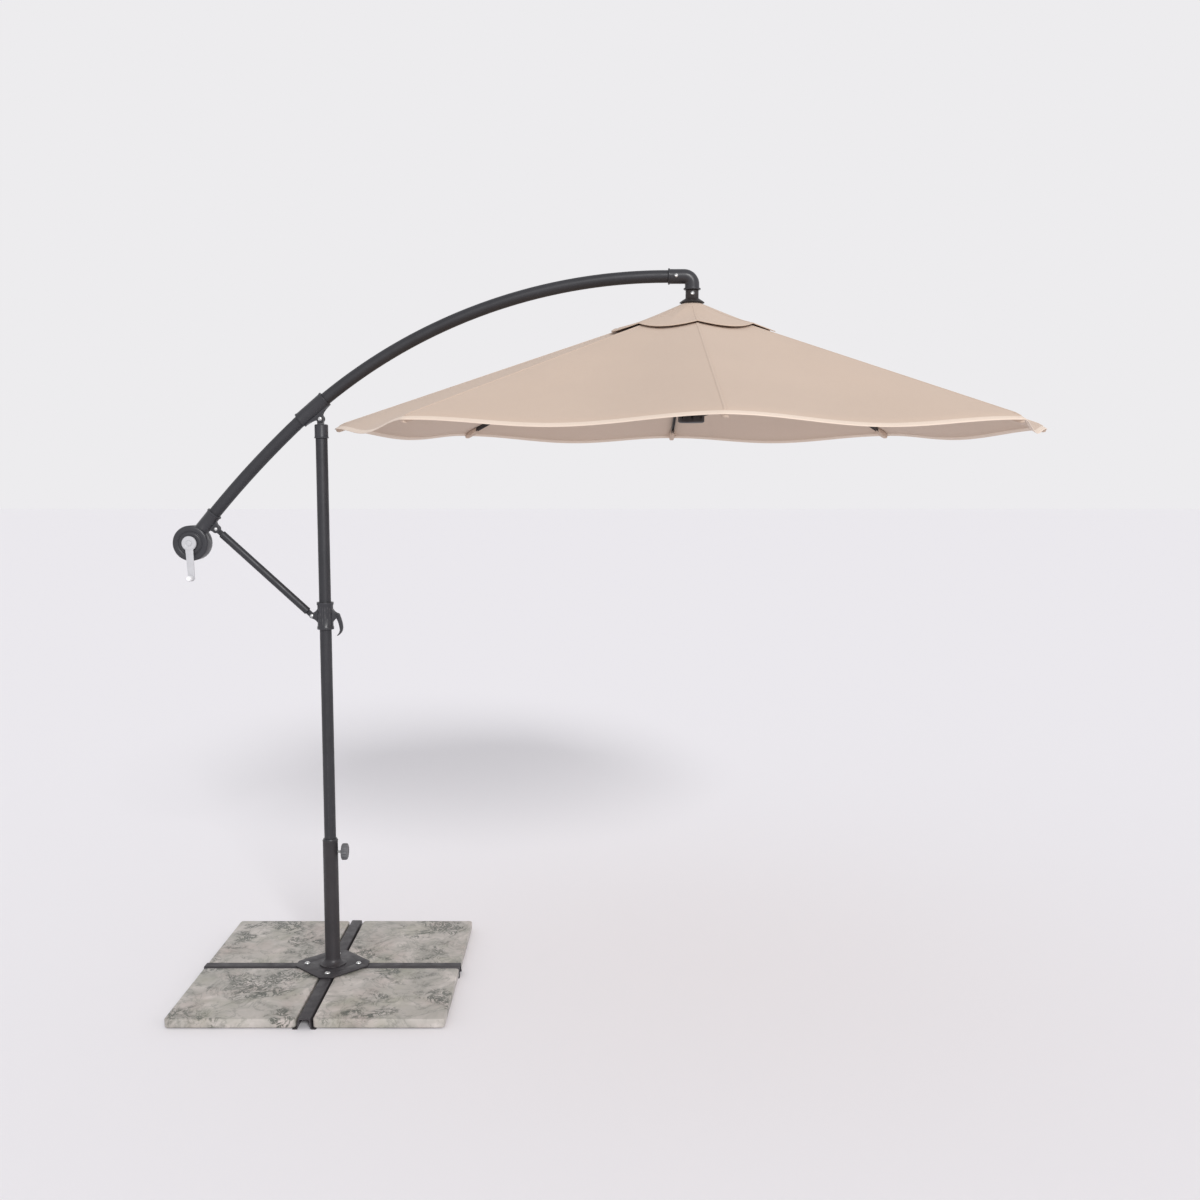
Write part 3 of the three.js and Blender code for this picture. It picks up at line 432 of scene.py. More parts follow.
def stitching(look, flat):
    """Two rows of short stitches beside the middle of a strip: where they show, and how deep they lie."""
    split = look.node("ShaderNodeSeparateXYZ")
    look.join(flat, split.inputs["Vector"])
    off_row = look.math("ABSOLUTE", look.math("SUBTRACT", look.math("ABSOLUTE", split.outputs["X"]), 0.0036))
    in_row = look.math("LESS_THAN", off_row, 0.0006)
    step = look.math("FRACT", look.math("MULTIPLY", split.outputs["Y"], 210.0))
    in_stitch = look.math("LESS_THAN", step, 0.68)
    shown = look.math("MULTIPLY", in_row, in_stitch)
    return look.math("MULTIPLY", shown, 0.55), look.math("MULTIPLY", in_row, 0.8)


def marble(name, shift):
    """Honed grey stone: cloudy patches, pink and olive stains, and clusters of fine dark green veins."""
    look = Look(name, 0.42, Coat_Weight=0.1, Coat_Roughness=0.3)
    place = look.stretched((1.0, 0.85, 1.0), shift, (0, 0, 0.3))
    clouds = look.noise(9, 7, 0.58, 0.6, source=place)
    body = look.ramp(
        clouds,
        [
            (0.28, srgb(130, 129, 122)),
            (0.42, srgb(165, 161, 154)),
            (0.56, srgb(182, 176, 170)),
            (0.72, srgb(206, 199, 193)),
        ],
    )
    pink = look.grey(look.noise(5, 4, source=place), 0.0, 0.45, 0.50, 0.68)
    turned_place = look.stretched((1, 1, 1), shift, (0, 0, 1))
    olive = look.grey(look.noise(6, 4, source=turned_place), 0.0, 0.5, 0.52, 0.70)
    tinted = look.mix(olive, look.mix(pink, body, srgb(188, 170, 164)), srgb(146, 147, 128))
    clusters = look.grey(look.noise(6.5, 5, 0.62, 0.5, source=place), 0.0, 1.0, 0.50, 0.60)
    fine = look.math("ABSOLUTE", look.math("SUBTRACT", look.noise(19, 8, 0.68, 1.8, source=place), 0.5))
    broad = look.math("ABSOLUTE", look.math("SUBTRACT", look.noise(6, 8, 0.66, 1.4, source=place), 0.48))
    fine_veins = look.math("MULTIPLY", look.grey(fine, 1.0, 0.0, 0.012, 0.075), clusters)
    broad_veins = look.grey(broad, 0.5, 0.0, 0.0, 0.03)
    veined = look.mix(broad_veins, tinted, srgb(112, 114, 106))
    look.paint(look.mix(fine_veins, veined, srgb(74, 78, 70)))
    look.rough(look.grey(look.noise(60, 4), 0.36, 0.56, 0.3, 0.7))
    look.bump(look.noise(180, 4, 0.6), 0.0003, 0.25)
    return look.material


def braided_cord(name):
    look = Look(name, 0.9)
    strands = look.noise(900, 2, source=look.stretched((1, 1, 0.3)))
    look.paint(look.ramp(strands, [(0.35, srgb(20, 20, 21)), (0.65, srgb(52, 50, 50))]))
    look.bump(strands, 0.0004, 0.8)
    return look.material


def studio_paper(name):
    look = Look(name, 0.95, Specular_IOR_Level=0.1)
    look.shader.inputs["Base Color"].default_value = srgb(238, 236, 239)
    return look.material


LOOKS = {
    "powder_coat": powder_coat("powder_coat_charcoal", srgb(44, 44, 48)),
    "base_coat": powder_coat("base_coat_charcoal", srgb(54, 51, 54), 0.45),
    "rib_steel": powder_coat("rib_paint_brown_black", srgb(43, 37, 36), 0.5),
    "plastic": moulded_plastic("plastic_charcoal", srgb(50, 50, 54), 0.33),
    "knob_plastic": moulded_plastic("plastic_knob_grey", srgb(95, 95, 98), 0.42),
    "crank_plastic": moulded_plastic("plastic_crank_grey", srgb(186, 186, 189), 0.34, 0.00006, 0.0),
    "grip_plastic": moulded_plastic("plastic_grip_white", srgb(232, 232, 234), 0.16, 0.00003, 0.0),
    "zinc": zinc_plate("zinc_bright"),
    "cloth": woven_cloth("cloth_beige", srgb(201, 180, 163)),
    "seam": woven_cloth("cloth_beige_seam", srgb(202, 181, 164), True),
    "hem": woven_cloth("cloth_hem_light", srgb(226, 208, 192), True),
    "cord": braided_cord("cord_black"),
}


def add_piece(piece, body, nodes, look):
    piece.data.materials.clear()
    piece.data.materials.append(LOOKS.get(look) or bpy.data.materials[look])
    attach(piece, body)
    if nodes:
        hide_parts(*nodes)
    return piece


# ---------------------------------------------------------------- base
def add_slabs():
    half = SLAB["side"] / 2
    square = rounded([(half, -half), (half, half), (-half, half), (-half, -half)], SLAB["corner"], 5, True)
    edge = 0.005
    arc = [math.radians(angle) for angle in (0, 30, 60, 90)]
    lower = [(edge * (1 - math.sin(a)), edge * (1 - math.cos(a))) for a in arc]
    levels = lower + [(inset, SLAB["thickness"] - height) for inset, height in reversed(lower)]
    for i, (sx, sy) in enumerate([(1, 1), (-1, 1), (-1, -1), (1, -1)]):
        look = marble(f"marble_{i + 1}", (0.7 * i, 1.3 * i, 0.4 * i))
        rings = []
        for inset, height in levels:
            share = 1 - inset / half
            ring = [Vector((x * share, y * share, height + SLAB["bottom"])) for x, y in square]
            rings.append([point + Vector((sx, sy, 0)) * SLAB["centre"] for point in ring])
        slab = mesh_object(f"stone_slab_{i + 1}", [skin(rings)], 60)
        add_piece(slab, "base", [f"slab_{i + 1}"], look.name)


def bar_section():
    """A bent sheet as one closed outline in Y and Z: a top, two spreading sides and two feet."""
    height, web, spread, foot, wall = (BAR[key] for key in ("height", "web", "spread", "foot", "wall"))
    inside = [(web - wall, height - wall), (spread - wall, 0), (foot, 0)]
    right = inside + [(foot, wall), (spread, wall), (web, height)]
    left = [(-y, z) for y, z in reversed(right)]
    return rounded(right + left, wall, 4, True)


def add_bars():
    """Hat-section bars whose rims turn in a little at their free ends."""
    spans = [
        ("cross_bar", -BAR["half"], BAR["half"], 0),
        ("rear_half_bar", BAR["foot"] + BUTT_GAP, BAR["half"], 90),
        ("front_half_bar", BAR["foot"] + BUTT_GAP, BAR["half"], -90),
    ]
    for node, start, end, degrees in spans:
        turn = Matrix.Rotation(math.radians(degrees), 4, "Z")
        section = bar_section()
        stations = [(start + d, s) for d, s in ((0, 0.965), (0.0012, 0.985), (0.004, 1.0))]
        stations += [(end - d, s) for d, s in ((0.004, 1.0), (0.0012, 0.985), (0, 0.965))]
        rings = []
        for x, share in stations:
            middle = BAR["wall"] / 2
            flat = [(y * share, middle + (z - middle) * share) for y, z in section]
            rings.append([turn @ Vector((x, y, z)) for y, z in flat])
        add_piece(mesh_object(node + "_bent", [skin(rings)], 30), "base", [node], "base_coat")


def add_sleeve():
    foot, top, radius, flange = SLEEVE["foot"], SLEEVE["top"], SLEEVE["radius"], SLEEVE["flange"]
    bore = SLEEVE["bore"]
    dome = []
    for step in range(9):
        angle = math.radians(90) * step / 8
        inwards = (flange - radius) * math.sin(angle)
        dome.append((flange - inwards, foot + 0.004 + 0.022 * (1 - math.cos(angle))))
    rolled = [(radius, top - 0.004), (radius + 0.0006, top - 0.003), (radius + 0.0006, top - 0.001)]
    profile = [(bore, foot), (flange - 0.001, foot), (flange, foot + 0.001)] + dome + rolled
    profile += [(radius - 0.0006, top), (bore + 0.0004, top), (bore, top - 0.0006)]
    sleeve = mesh_object("sleeve_tube", [turned(profile, 80, loop=True)])
    add_piece(sleeve, "base", ["base_sleeve"], "base_coat")


def add_bolts():
    for i in range(4):
        node = f"base_bolt_{i + 1}"
        low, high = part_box(node)
        centre = Vector(((low.x + high.x) / 2, (low.y + high.y) / 2, 0))
        foot = high.z - 0.0066
        arc = [math.radians(angle) for angle in range(0, 91, 15)]
        dome = [(0.0100 * math.cos(a), foot + 0.0066 * math.sin(a)) for a in arc]
        washer = [(0, foot), (0.0104, foot), (0.0108, foot + 0.0003)]
        washer += [(0.0108, foot + 0.0009), (0.0101, foot + 0.0012)]
        shank = [(0, low.z), (0.0046, low.z), (0.005, low.z + 0.0006), (0.005, foot), (0, foot)]
        nut = circle(0.0098, 6)
        nut_rings = [[Vector((x, y, z)) for x, y in nut] for z in (low.z + 0.005, low.z + 0.012)]
        parts = [turned(washer + dome, 40), turned(shank, 24), skin(nut_rings)]
        moved = [([centre + point for point in points], faces) for points, faces in parts]
        add_piece(mesh_object(node + "_domed", moved), "base", [node], "zinc")


def add_clamp():
    """A knurled knob with a recessed face, on a thin bright screw."""
    near, far, radius = CLAMP["near"], CLAMP["far"], CLAMP["radius"]
    lobes, depth = CLAMP["lobes"], CLAMP["lobe_depth"]
    place = along((1, 0, 0), (0, 0, CLAMP["z"]))
    profile = [(0.010, near), (0.012, near), (radius - 0.006, near), (radius - 0.0015, near + 0.0018)]
    profile += [(radius, near + 0.005), (radius, far - 0.006), (radius - 0.0015, far - 0.0022)]
    profile += [(radius - 0.006, far), (radius - 0.011, far)]
    profile += [(radius - 0.013, far - 0.002), (0.0005, far - 0.0024)]
    rings = []
    for size, height in profile:
        share = 1.0 if size > 0.6 * radius else 0.0
        ring = circle(size, 128, lobes, depth * share)
        rings.append([place @ Vector((x, y, height)) for x, y in ring])
    boss = [(0.0005, near - 0.004), (0.0085, near - 0.004), (0.010, near - 0.003), (0.011, near + 0.001)]
    knob = mesh_object("clamp_knob_knurled", [skin(rings), turned(boss, 48, place)])
    add_piece(knob, "knob", ["clamp_knob"], "knob_plastic")
    threads = [(0.0005, 0.0232), (0.004, 0.0234)]
    start, pitch = 0.0240, 0.0015
    for turn in range(10):
        threads += [(0.0046, start + turn * pitch), (0.0040, start + (turn + 0.5) * pitch)]
    threads += [(0.0042, near - 0.0035), (0.0005, near - 0.0035)]
    screw = mesh_object("clamp_screw", [turned(threads, 32, place)])
    add_piece(screw, "knob", [], "zinc")


# ---------------------------------------------------------------- mast, boom and elbow
def add_mast():
    radius, bore, foot, top = MAST["radius"], MAST["bore"], MAST["foot"], MAST["top"]
    outline = [(bore, foot), (radius, foot), (radius, top), (bore, top)]
    tube = turned(rounded(outline, 0.0006, 3, True), 80, loop=True)
    add_piece(mesh_object("mast_tube", [tube]), "mast", ["mast"], "powder_coat")


def boom_route():
    arcs = [(radius * math.radians(turn), turn) for radius, turn in BOOM_ARCS]
    return Route(BOOM["start"], 180, [(BOOM["straight"], 0)] + arcs)


def add_boom():
    route = boom_route()
    steps = 96
    distances = [route.total * i / steps for i in range(steps + 1)]
    outside = [(distance, BOOM["radius"]) for distance in distances]
    inside = [(distance, BOOM["bore"]) for distance in reversed(distances)]
    boom = mesh_object("boom_tube", [swept(route, outside + inside, 56)])
    add_piece(boom, "boom", ["boom"], "powder_coat")


def add_elbow():
    straight = CANOPY_X - ELBOW["bend"] - ELBOW["start"]
    quarter = ELBOW["bend"] * math.pi / 2
    drop = BOOM["start"][1] - ELBOW["bend"] - ELBOW["bottom"]
    route = Route((ELBOW["start"], BOOM["start"][1]), 0, [(straight, 0), (quarter, -90), (drop, 0)])
    total, ring, size = route.total, ELBOW["ring"], ELBOW["radius"]
    upper, lower = ELBOW_RINGS["upper"], ELBOW_RINGS["lower"]
    first = [(0, ELBOW["bore"]), (0, upper), (ring, upper), (ring, size), (ring + 0.006, size)]
    first = rounded(first, 0.0014, 4)
    curve = [(straight + quarter * i / 20, size) for i in range(21)]
    last = [(total - ring - 0.004, size), (total - ring, size), (total - ring, lower), (total, lower)]
    last = rounded(last + [(total, ELBOW["bore"])], 0.0014, 4)
    outside = [(max(0, min(total, distance)), radius) for distance, radius in first + curve + last]
    inside = [(distance, ELBOW["bore"]) for distance, _ in reversed(curve)]
    elbow = mesh_object("elbow_moulding", [swept(route, outside + inside, 56)], 40)
    add_piece(elbow, "boom", ["elbow"], "plastic")


def add_elbow_screw():
    low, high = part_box("elbow_screw")
    centre = Vector(((low.x + high.x) / 2, 0, (low.z + high.z) / 2))
    head = [(0.0005, high.y), (0.0045, high.y), (0.0045, low.y + 0.004), (0.0068, low.y + 0.004)]
    head += [(0.0070, low.y + 0.0035), (0.0064, low.y + 0.0018), (0.0045, low.y + 0.0006)]
    head += [(0.0030, low.y + 0.0001), (0.0028, low.y + 0.0012), (0.0005, low.y + 0.0018)]
    screw = mesh_object("elbow_screw_socket", [turned(head, 48, along((0, 1, 0), centre))])
    add_piece(screw, "boom", ["elbow_screw"], "zinc")
    low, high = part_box("hub")
    place = along((0, 1, 0), (CANOPY_X, 0, high.z - 0.031))
    front = -0.0279
    profile = [(0.0005, front + 0.003), (0.0066, front + 0.003), (0.0068, front + 0.0006)]
    profile += [(0.0052, front - 0.0009), (0.0032, front - 0.0014), (0.0030, front), (0.0005, front + 0.0006)]
    add_piece(mesh_object("stem_screw_socket", [turned(profile, 48, place)]), "boom", [], "zinc")


# ---------------------------------------------------------------- crank and collar
def add_cover():
    radius, front, axle = DRUM["radius"], DRUM["front"], DRUM["axle"]
    steps = [(axle, 0), (radius - 0.0004, 0), (radius, -0.0006), (radius, -0.0030)]
    steps += [(radius - 0.0035, -0.0068), (radius - 0.0095, -0.0082), (0.0475, -0.0080)]
    steps += [(0.0455, -0.0062), (0.0440, -0.0062), (0.0420, -0.0085), (0.0395, -0.0102)]
    steps += [(0.0360, -0.0105), (0.0200, -0.0100), (axle, -0.0100)]
    profile = [(size, front + rise) for size, rise in rounded(steps, 0.0016, 3, True)]
    place = Matrix.Translation((DRUM["x"], 0, DRUM["z"])) @ Matrix.Rotation(math.radians(-90), 4, "X")
    cover = mesh_object("housing_cover_dished", [turned(profile, 112, place, loop=True)])
    add_piece(cover, "boom", ["housing_cover"], "plastic")


def crank_place():
    lean = Matrix.Rotation(-math.radians(CRANK["lean"]), 4, "Y")
    return Matrix.Translation((DRUM["x"], 0, DRUM["z"])) @ lean


def add_crank():
    arm, hub, tip, face, back = (CRANK[key] for key in ("arm", "hub", "tip", "face", "back"))
    outline = [(-tip * 1.2, -hub * 0.5), (tip * 1.2, -hub * 0.5), (tip, -arm)]
    for step in range(1, 16):
        angle = -math.pi * step / 16
        outline.append((tip * math.cos(angle), -arm + tip * math.sin(angle)))
    outline.append((-tip, -arm))
    blade = plate("crank_arm_blade", outline, face + 0.001, face + 0.008, 0.0018)
    blade.data.transform(crank_place())
    turn = crank_place() @ Matrix.Rotation(math.radians(-90), 4, "X")
    boss = [(0.0005, face + 0.0016), (0.011, face + 0.0016), (0.013, face), (hub - 0.004, face)]
    boss += [(hub, face + 0.004), (hub, back - 0.002), (hub - 0.002, back), (0.0005, back)]
    centre = [(0.0005, face - 0.0006), (0.0085, face - 0.0006)]
    centre += [(0.0100, face + 0.0004), (0.0100, face + 0.003)]
    pin_turn = turn @ Matrix.Translation((0, arm, 0))
    pin = [(0.0005, face - 0.034), (0.0035, face - 0.034), (0.0035, face + 0.002), (0.0005, face + 0.002)]
    parts = [turned(rounded(boss, 0.0012, 3), 72, turn), turned(centre, 48, turn), turned(pin, 24, pin_turn)]
    add_piece(mesh_object("crank_boss", parts), "crank", ["crank_arm"], "crank_plastic")
    add_piece(blade, "crank", [], "crank_plastic")
    base, length, radius = GRIP["base"], GRIP["length"], GRIP["radius"]
    swell = [(GRIP["bore"], 0), (0.0086, 0), (0.0092, -0.001), (0.0090, -0.005), (0.0098, -0.014)]
    swell += [(0.0107, -0.023), (radius, -0.030), (0.0104, -0.034), (0.0080, -0.0368), (0.0040, -0.0378)]
    swell += [(0.0005, -length), (0.0005, -0.035), (GRIP["bore"], -0.035)]
    grip = turned([(size, base + rise) for size, rise in swell], 56, pin_turn, loop=True)
    add_piece(mesh_object("crank_grip_swelled", [grip]), "grip", ["crank_grip"], "grip_plastic")


def add_strut():
    """A tube with a flat eye let into each end."""
    (top_x, top_z), (foot_x, foot_z) = STRUT["top"], STRUT["foot"]
    span = math.hypot(foot_x - top_x, foot_z - top_z)
    angle = math.atan2(foot_z - top_z, foot_x - top_x)
    place = Matrix.Translation((top_x, 0, top_z)) @ Matrix.Rotation(-angle, 4, "Y")
    start, end, radius = STRUT_INSETS["top"], span - STRUT_INSETS["foot"], STRUT["radius"]
    profile = [(0, start + 0.003), (radius - 0.002, start + 0.003), (radius - 0.002, start), (radius, start)]
    profile += [(radius, end), (radius - 0.002, end), (radius - 0.002, end - 0.003), (0, end - 0.003)]
    tube = turned(rounded(profile, 0.0007, 3), 64, place @ along((1, 0, 0)))
    add_piece(mesh_object("strut_tube", [tube]), "strut", ["strut"], "powder_coat")
    for name, centre, inner in (("upper", 0, start + 0.006), ("lower", span, end - 0.006)):
        side = 1 if inner > centre else -1
        half = STRUT["eye"]
        arc = [math.radians(90 + 180 * step / 16) for step in range(17)]
        outline = [(centre + side * half * math.cos(a), half * math.sin(a)) for a in arc]
        outline += [(inner, -half), (inner, half)]
        eye = plate(f"strut_eye_{name}", outline, -0.003, 0.003, 0.0007)
        eye.data.transform(place)
        add_piece(eye, "strut", [], "powder_coat")


def add_collar_ridges():
    """Upright ridges moulded on the collar's waist, between its two lugs."""
    low, high = COLLAR["bottom"] + 0.016, COLLAR["bottom"] + COLLAR["height"] - 0.016
    parts = []
    for side in (1, -1):
        for degrees in (-45, -27, -9, 9, 27, 45):
            angle = math.radians(90 * side + degrees)
            out = Vector((math.cos(angle), math.sin(angle), 0))
            across = Vector((-out.y, out.x, 0))
            section = [(-0.0014, -0.0012), (-0.0009, 0.0010), (0.0009, 0.0010), (0.0014, -0.0012)]
            rings = []
            for z, share in ((low, 0.2), (low + 0.003, 1), (high - 0.003, 1), (high, 0.2)):
                foot = out * (COLLAR["waist"] - 0.0006)
                rings.append([foot + across * a + out * (b * share) + Vector((0, 0, z)) for a, b in section])
            parts.append(skin(rings))
    add_piece(mesh_object("collar_ridges", parts, 50), "collar", [], "plastic")


# ---------------------------------------------------------------- canopy
def spoke_turn(index):
    return 2 * HALF_GORE * index


def lerp(first, second, share):
    return first + (second - first) * share


def cloth_point(spec, index, t, u):
    """A place on a cone of gores: t runs from its top to its hem, u from -1 to 1 across a rib."""
    side = 1 if u >= 0 else -1
    w = 1 - abs(u)
    cosine, sine = math.cos(HALF_GORE), math.sin(HALF_GORE)
    hollow = spec["hollow"] * (1 - w * w)
    middle = lerp(spec["inner"] * cosine, spec["outer"] * cosine - hollow, t)
    across = lerp(spec["inner"] * sine, spec["outer"] * sine, t) * w
    angle = spoke_turn(index) + side * HALF_GORE
    x = CANOPY_X + middle * math.cos(angle) + side * across * math.sin(angle)
    y = middle * math.sin(angle) - side * across * math.cos(angle)
    return Vector((x, y, spec["top"] - spec["fall"] / cosine * middle - droop(spec, t, w, x, y)))


def smooth(value):
    value = min(1.0, max(0.0, value))
    return value * value * (3 - 2 * value)


def droop(spec, t, w, x, y):
    """How far the cloth hangs below the flat gore: sag between the ribs, a turned-down rim, soft creases."""
    if spec is VENT:
        return spec["sag"] * math.sin(math.pi * t) * lerp(0.35, 1.0, w)
    between = math.sin(math.pi * (1 - w) / 2) ** 2
    sag = (spec["sag"] * math.sin(math.pi * t) + RIM["slack"] * t**2.4) * between
    rim = RIM["turned_down"] * smooth((t - RIM["from"]) / (1 - RIM["from"]))
    crease = noise.noise(Vector((x * 3.1, y * 3.1, 7.0))) + 0.5 * noise.noise(Vector((x * 9, y * 9, 3.0)))
    return sag + rim + 0.0035 * crease * 4 * w * (1 - w) * math.sin(math.pi * t)


def cloth_sheet(name, spec, index, rows, columns):
    """One sector of a cone of cloth as a thin closed sheet, with its flat place kept for the weave."""
    points, flats, faces = [], [], []
    width = 2 * columns + 1
    for row in range(rows + 1):
        t = row / rows
        for column in range(-columns, columns + 1):
            u = column / columns
            place = cloth_point(spec, index, t, u)
            points.append(place)
            size = lerp(spec["inner"], spec["outer"], t)
            flats.append((size * math.sin(HALF_GORE) * u, size * math.hypot(1, spec["fall"]), 0.0))
    for row in range(rows):
        for column in range(width - 1):
            a = row * width + column
            faces.append((a, a + width, a + width + 1, a + 1))
    return thin_sheet(name, points, faces, flats)


def thin_sheet(name, points, faces, flats):
    count = len(points)
    under = [point - Vector((0, 0, CLOTH)) for point in points]
    edges = {}
    for face in faces:
        for a, b in zip(face, face[1:] + face[:1]):
            edges[(a, b)] = True
    rim = [(b, a, a + count, b + count) for a, b in edges if (b, a) not in edges]
    below = [tuple(index + count for index in reversed(face)) for face in faces]
    sheet = mesh_object(name, [(points + under, faces + below + rim)], 50)
    keep_flat(sheet, flats + flats)
    return sheet


def keep_flat(piece, flats):
    attribute = piece.data.attributes.new("flat", "FLOAT_VECTOR", "POINT")
    attribute.data.foreach_set("vector", [value for flat in flats for value in flat])


def hem_band(name, spec, index, width, columns):
    """The turned and stitched edge of a sector, wrapped round its hem."""
    thick = HEM["thickness"]
    outside = -0.0012
    section = [(outside, -thick / 2), (width, -thick / 2), (width, thick / 2), (outside, thick / 2)]
    section = rounded(section, 0.0014, 3, True)
    rings, flats, travelled, last = [], [], 0.0, None
    for column in range(-columns, columns + 1):
        u = column / columns
        edge = cloth_point(spec, index, 1.0, u)
        inwards = (cloth_point(spec, index, 0.97, u) - edge).normalized()
        middle = edge - Vector((0, 0, CLOTH / 2))
        travelled += (edge - last).length if last else 0.0
        last = edge
        up = Vector((0, 0, 1))
        rings.append([middle + inwards * a + up * b for a, b in section])
        flats += [(a - width / 2, travelled, 0.0) for a, b in section]
    band = mesh_object(name, [skin(rings)], 50)
    keep_flat(band, flats)
    return band


def rib_seam(name, spec, index, start, end, half=0.006):
    """A felled seam over a rib, between two stitched rows."""
    angle = spoke_turn(index)
    across = Vector((-math.sin(angle), math.cos(angle), 0))
    section = [(-1, -0.0012), (-0.85, 0.0006), (-0.4, 0.0013), (0, 0.0010)]
    section += [(0.4, 0.0013), (0.85, 0.0006), (1, -0.0012), (0, -0.0008)]
    rings, flats = [], []
    steps = 60
    for step in range(steps + 1):
        t = lerp(start, end, step / steps)
        centre = cloth_point(spec, index, t, 0.0)
        rings.append([centre + across * a * half + Vector((0, 0, b)) for a, b in section])
        length = lerp(spec["inner"], spec["outer"], t)
        flats += [(a * half, length, 0.0) for a, b in section]
    seam = mesh_object(name, [skin(rings)], 50)
    keep_flat(seam, flats)
    return seam


def tip_pocket(name, index):
    """The cloth pocket that holds a rib's end, under the canopy's corner."""
    angle = spoke_turn(index)
    out = Vector((math.cos(angle), math.sin(angle), 0))
    across = Vector((-out.y, out.x, 0))
    rings, flats = [], []
    stations = [(1.262, 0.30, 0.006), (1.264, 0.9, 0.018), (1.290, 1.0, 0.024), (1.318, 0.96, 0.024)]
    stations += [(1.330, 0.85, 0.020), (1.338, 0.62, 0.013), (1.341, 0.30, 0.006)]
    for radius, share, depth in stations:
        t = (radius - MAIN["inner"]) / (MAIN["outer"] - MAIN["inner"])
        top = cloth_point(MAIN, index, t, 0).z - CLOTH - 0.0006
        half = 0.0125 * share
        box = [(-half, 0.0), (half, 0.0), (half * 0.9, -depth), (-half * 0.9, -depth)]
        ring = rounded(box, 0.006, 4, True)
        fall = [-0.14 * abs(a) for a, b in ring]
        centre = Vector((CANOPY_X, 0, top)) + out * radius
        rings.append([centre + across * a + Vector((0, 0, b + f)) for (a, b), f in zip(ring, fall)])
        flats += [(a, radius + b, 0.0) for a, b in ring]
    pocket = mesh_object(name, [skin(rings)], 60)
    keep_flat(pocket, flats)
    return pocket


def sheet_area(spec, index, rows=12, columns=12):
    """The area of one sector as built."""
    area = 0.0
    for row in range(rows):
        for column in range(-columns, columns):
            corners = [
                cloth_point(spec, index, (row + a) / rows, (column + b) / columns)
                for a, b in ((0, 0), (1, 0), (1, 1), (0, 1))
            ]
            diagonals = (corners[2] - corners[0], corners[3] - corners[1])
            area += diagonals[0].cross(diagonals[1]).length / 2
    return area


def sector_size(spec, index):
    """The straight distance across the hem, and the length from top to hem, of one sector as built."""
    length = (cloth_point(spec, index, 1, 0) - cloth_point(spec, index, 0, 0)).length
    diagonal = (cloth_point(spec, index, 1, 1) - cloth_point(spec, index, 0, 0)).length
    width = (cloth_point(spec, index, 1, 1) - cloth_point(spec, index, 1, -1)).length
    return width, max(length, diagonal)


def gathered(piece):
    """The piece gets its own copy of its mesh."""
    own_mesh(piece)
    return piece


def add_canopy():
    for index in range(RIBS):
        number, body = index + 1, f"rib_{index + 1}"
        main = cloth_sheet(f"canopy_gore_{number}", MAIN, index, 56, 22)
        vent = cloth_sheet(f"vent_flap_{number}", VENT, index, 20, 10)
        main_hem = hem_band(f"canopy_hem_{number}", MAIN, index, HEM["main"], 22)
        vent_hem = hem_band(f"vent_hem_{number}", VENT, index, HEM["vent"], 10)
        main_seam = rib_seam(f"canopy_seam_{number}", MAIN, index, 0.03, 0.985)
        vent_seam = rib_seam(f"vent_seam_{number}", VENT, index, 0.15, 0.94, 0.004)
        pocket = tip_pocket(f"rib_pocket_{number}", index)
        add_piece(main, body, [f"canopy_{number}"], "cloth")
        add_piece(vent, body, [], "cloth")
        for band in (main_hem, vent_hem):
            add_piece(band, body, [], "hem" if band is main_hem else "seam")
        for strip in (main_seam, vent_seam, pocket):
            add_piece(strip, body, [], "seam")
        for piece in (main, vent, main_hem, vent_hem):
            gathered(piece)
        declare(MAIN, index)
        declare(VENT, index)


def declare(spec, index):
    area = sheet_area(spec, index)
    sector_size(spec, index)


def add_dome():
    low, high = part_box("dome_cap")
    under = [(0.0249, high.z - 0.004), (0.0340, low.z + 0.0068), (0.0455, low.z)]
    rim = [(0.0466, low.z), (0.047, low.z + 0.0010), (0.0440, low.z + 0.0040)]
    over = [(0.0362, low.z + 0.0092), (0.0290, high.z - 0.0020), (0.0262, high.z), (0.0249, high.z)]
    outline = under + rim + over
    dome = turned(rounded(outline, 0.0012, 3, True), 80, Matrix.Translation((CANOPY_X, 0, 0)), loop=True)
    add_piece(mesh_object("dome_cap_skirt", [dome]), "boom", ["dome_cap"], "rib_steel")


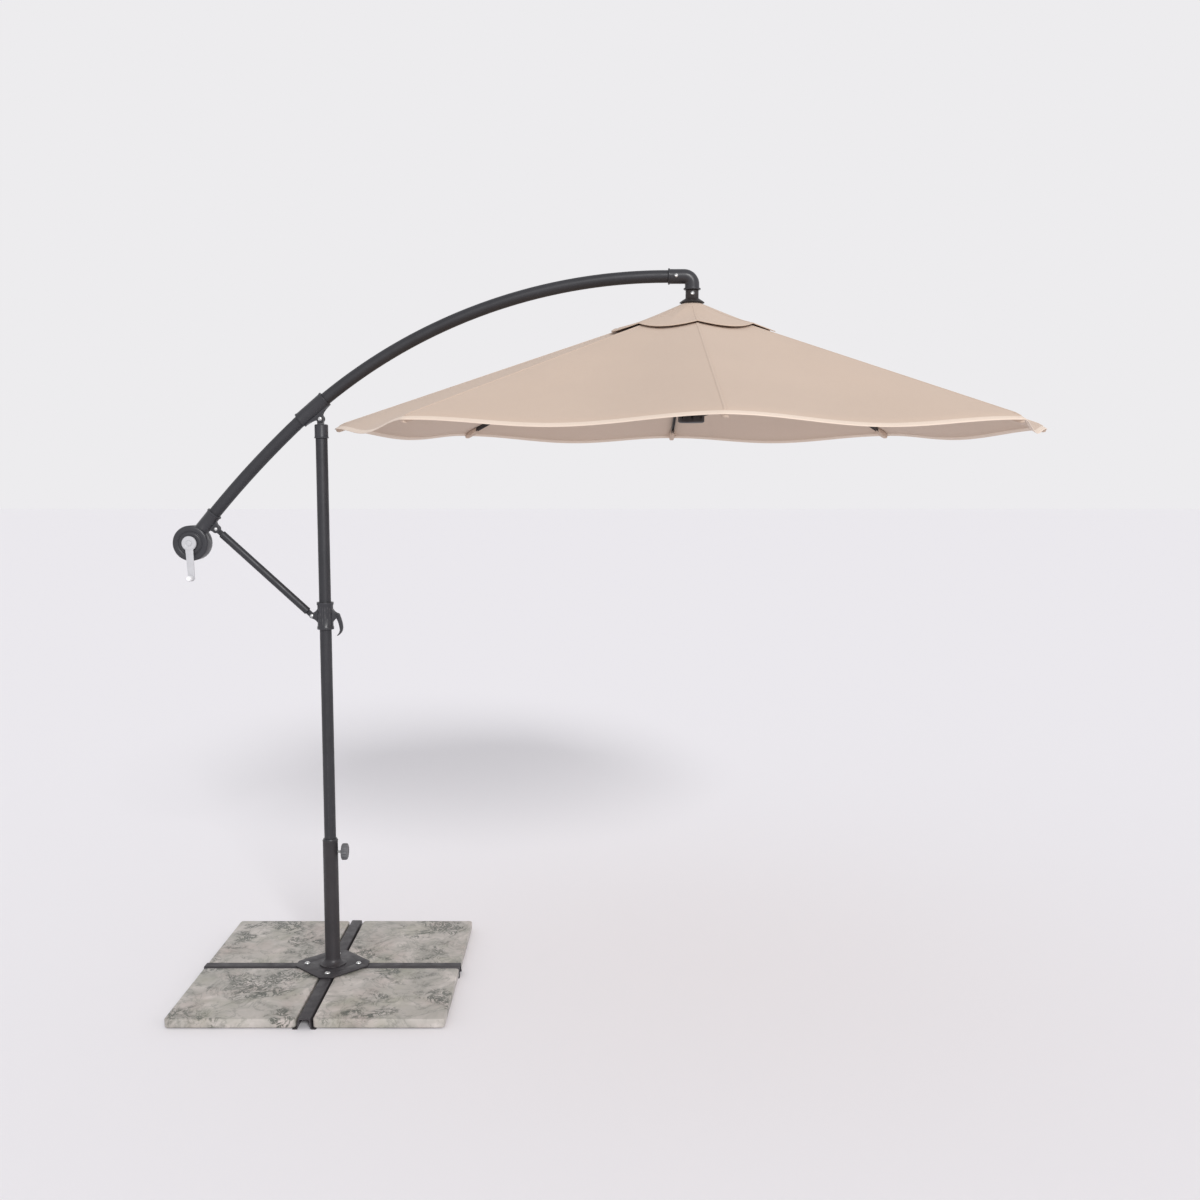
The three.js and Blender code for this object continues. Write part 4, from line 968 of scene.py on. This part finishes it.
# ---------------------------------------------------------------- pieces that keep their CAD shape
def add_refined():
    """The remaining CAD nodes, with rounded edges and their materials."""
    kept = [
        ("base_plate", "base_coat", 0.0010),
        ("sleeve_bush", "plastic", 0.0004),
        ("mast_cap", "plastic", 0.0008),
        ("tilt_bolt", "zinc", 0.0),
        ("boom_bracket", "plastic", 0.0012),
        ("crank_housing", "plastic", 0.0012),
        ("spool", "plastic", 0.0),
        ("hub", "rib_steel", 0.0004),
        ("collar", "plastic", 0.0010),
        ("collar_lever", "plastic", 0.0014),
        ("runner", "rib_steel", 0.0004),
        ("lift_cord", "cord", 0.0),
        ("strut_upper_pin", "zinc", 0.0),
        ("strut_lower_pin", "zinc", 0.0),
    ]
    for number in range(1, RIBS + 1):
        kept.append((f"rib_{number}", "rib_steel", 0.0004))
        kept.append((f"stretcher_{number}", "rib_steel", 0.0004))
    groups = frame["record"]["behaviour"]["bodies"]
    for node, look, edge in kept:
        body = next(name for name, members in groups.items() if node in members)
        angle = 75 if node == "lift_cord" else 35
        add_piece(refined(node, edge, angle), body, [node], look)


# ---------------------------------------------------------------- studio
def studio_world():
    """An even pale room whose walls are a little brighter than its ceiling."""
    world = bpy.data.worlds.new("studio")
    world.use_nodes = True
    tree = world.node_tree
    direction = tree.nodes.new("ShaderNodeTexCoord").outputs["Generated"]
    height = tree.nodes.new("ShaderNodeSeparateXYZ")
    tree.links.new(direction, height.inputs["Vector"])
    tone = tree.nodes.new("ShaderNodeValToRGB")
    walls, ceiling = tone.color_ramp.elements
    walls.position, walls.color = 0.42, srgb(237, 236, 238)
    ceiling.position, ceiling.color = 0.66, srgb(210, 210, 212)
    tree.links.new(height.outputs["Z"], tone.inputs["Fac"])
    tree.links.new(tone.outputs["Color"], tree.nodes["Background"].inputs["Color"])
    return world


def add_studio():
    camera = bpy.data.objects.new("camera", bpy.data.cameras.new("camera"))
    camera.location = CAMERA["place"]
    camera.rotation_euler = (math.radians(90 - CAMERA["down"]), 0, 0)
    camera.data.lens = CAMERA["lens"]
    camera.data.sensor_width = 36
    camera.data.clip_end = 200
    bpy.context.scene.collection.objects.link(camera)
    bpy.context.scene.camera = camera
    bpy.context.scene.view_settings.view_transform = "Standard"

    reach = 60
    corners = [(-reach, -reach, 0), (reach, -reach, 0), (reach, reach, 0), (-reach, reach, 0)]
    floor = mesh_object("floor", [(corners, [(0, 1, 2, 3)])])
    floor.data.materials.append(studio_paper("studio_paper"))

    bpy.context.scene.world = studio_world()

    sun = bpy.data.objects.new("key", bpy.data.lights.new("key", "SUN"))
    sun.data.energy = 1.8
    sun.data.angle = math.radians(14)
    sun.rotation_euler = SUN_TRAVEL.to_track_quat("-Z", "Y").to_euler()
    bpy.context.scene.collection.objects.link(sun)


add_studio()
add_slabs()
add_bars()
add_sleeve()
add_bolts()
add_clamp()
add_mast()
add_boom()
add_elbow()
add_elbow_screw()
add_cover()
add_crank()
add_strut()
add_collar_ridges()
add_dome()
add_refined()
add_canopy()
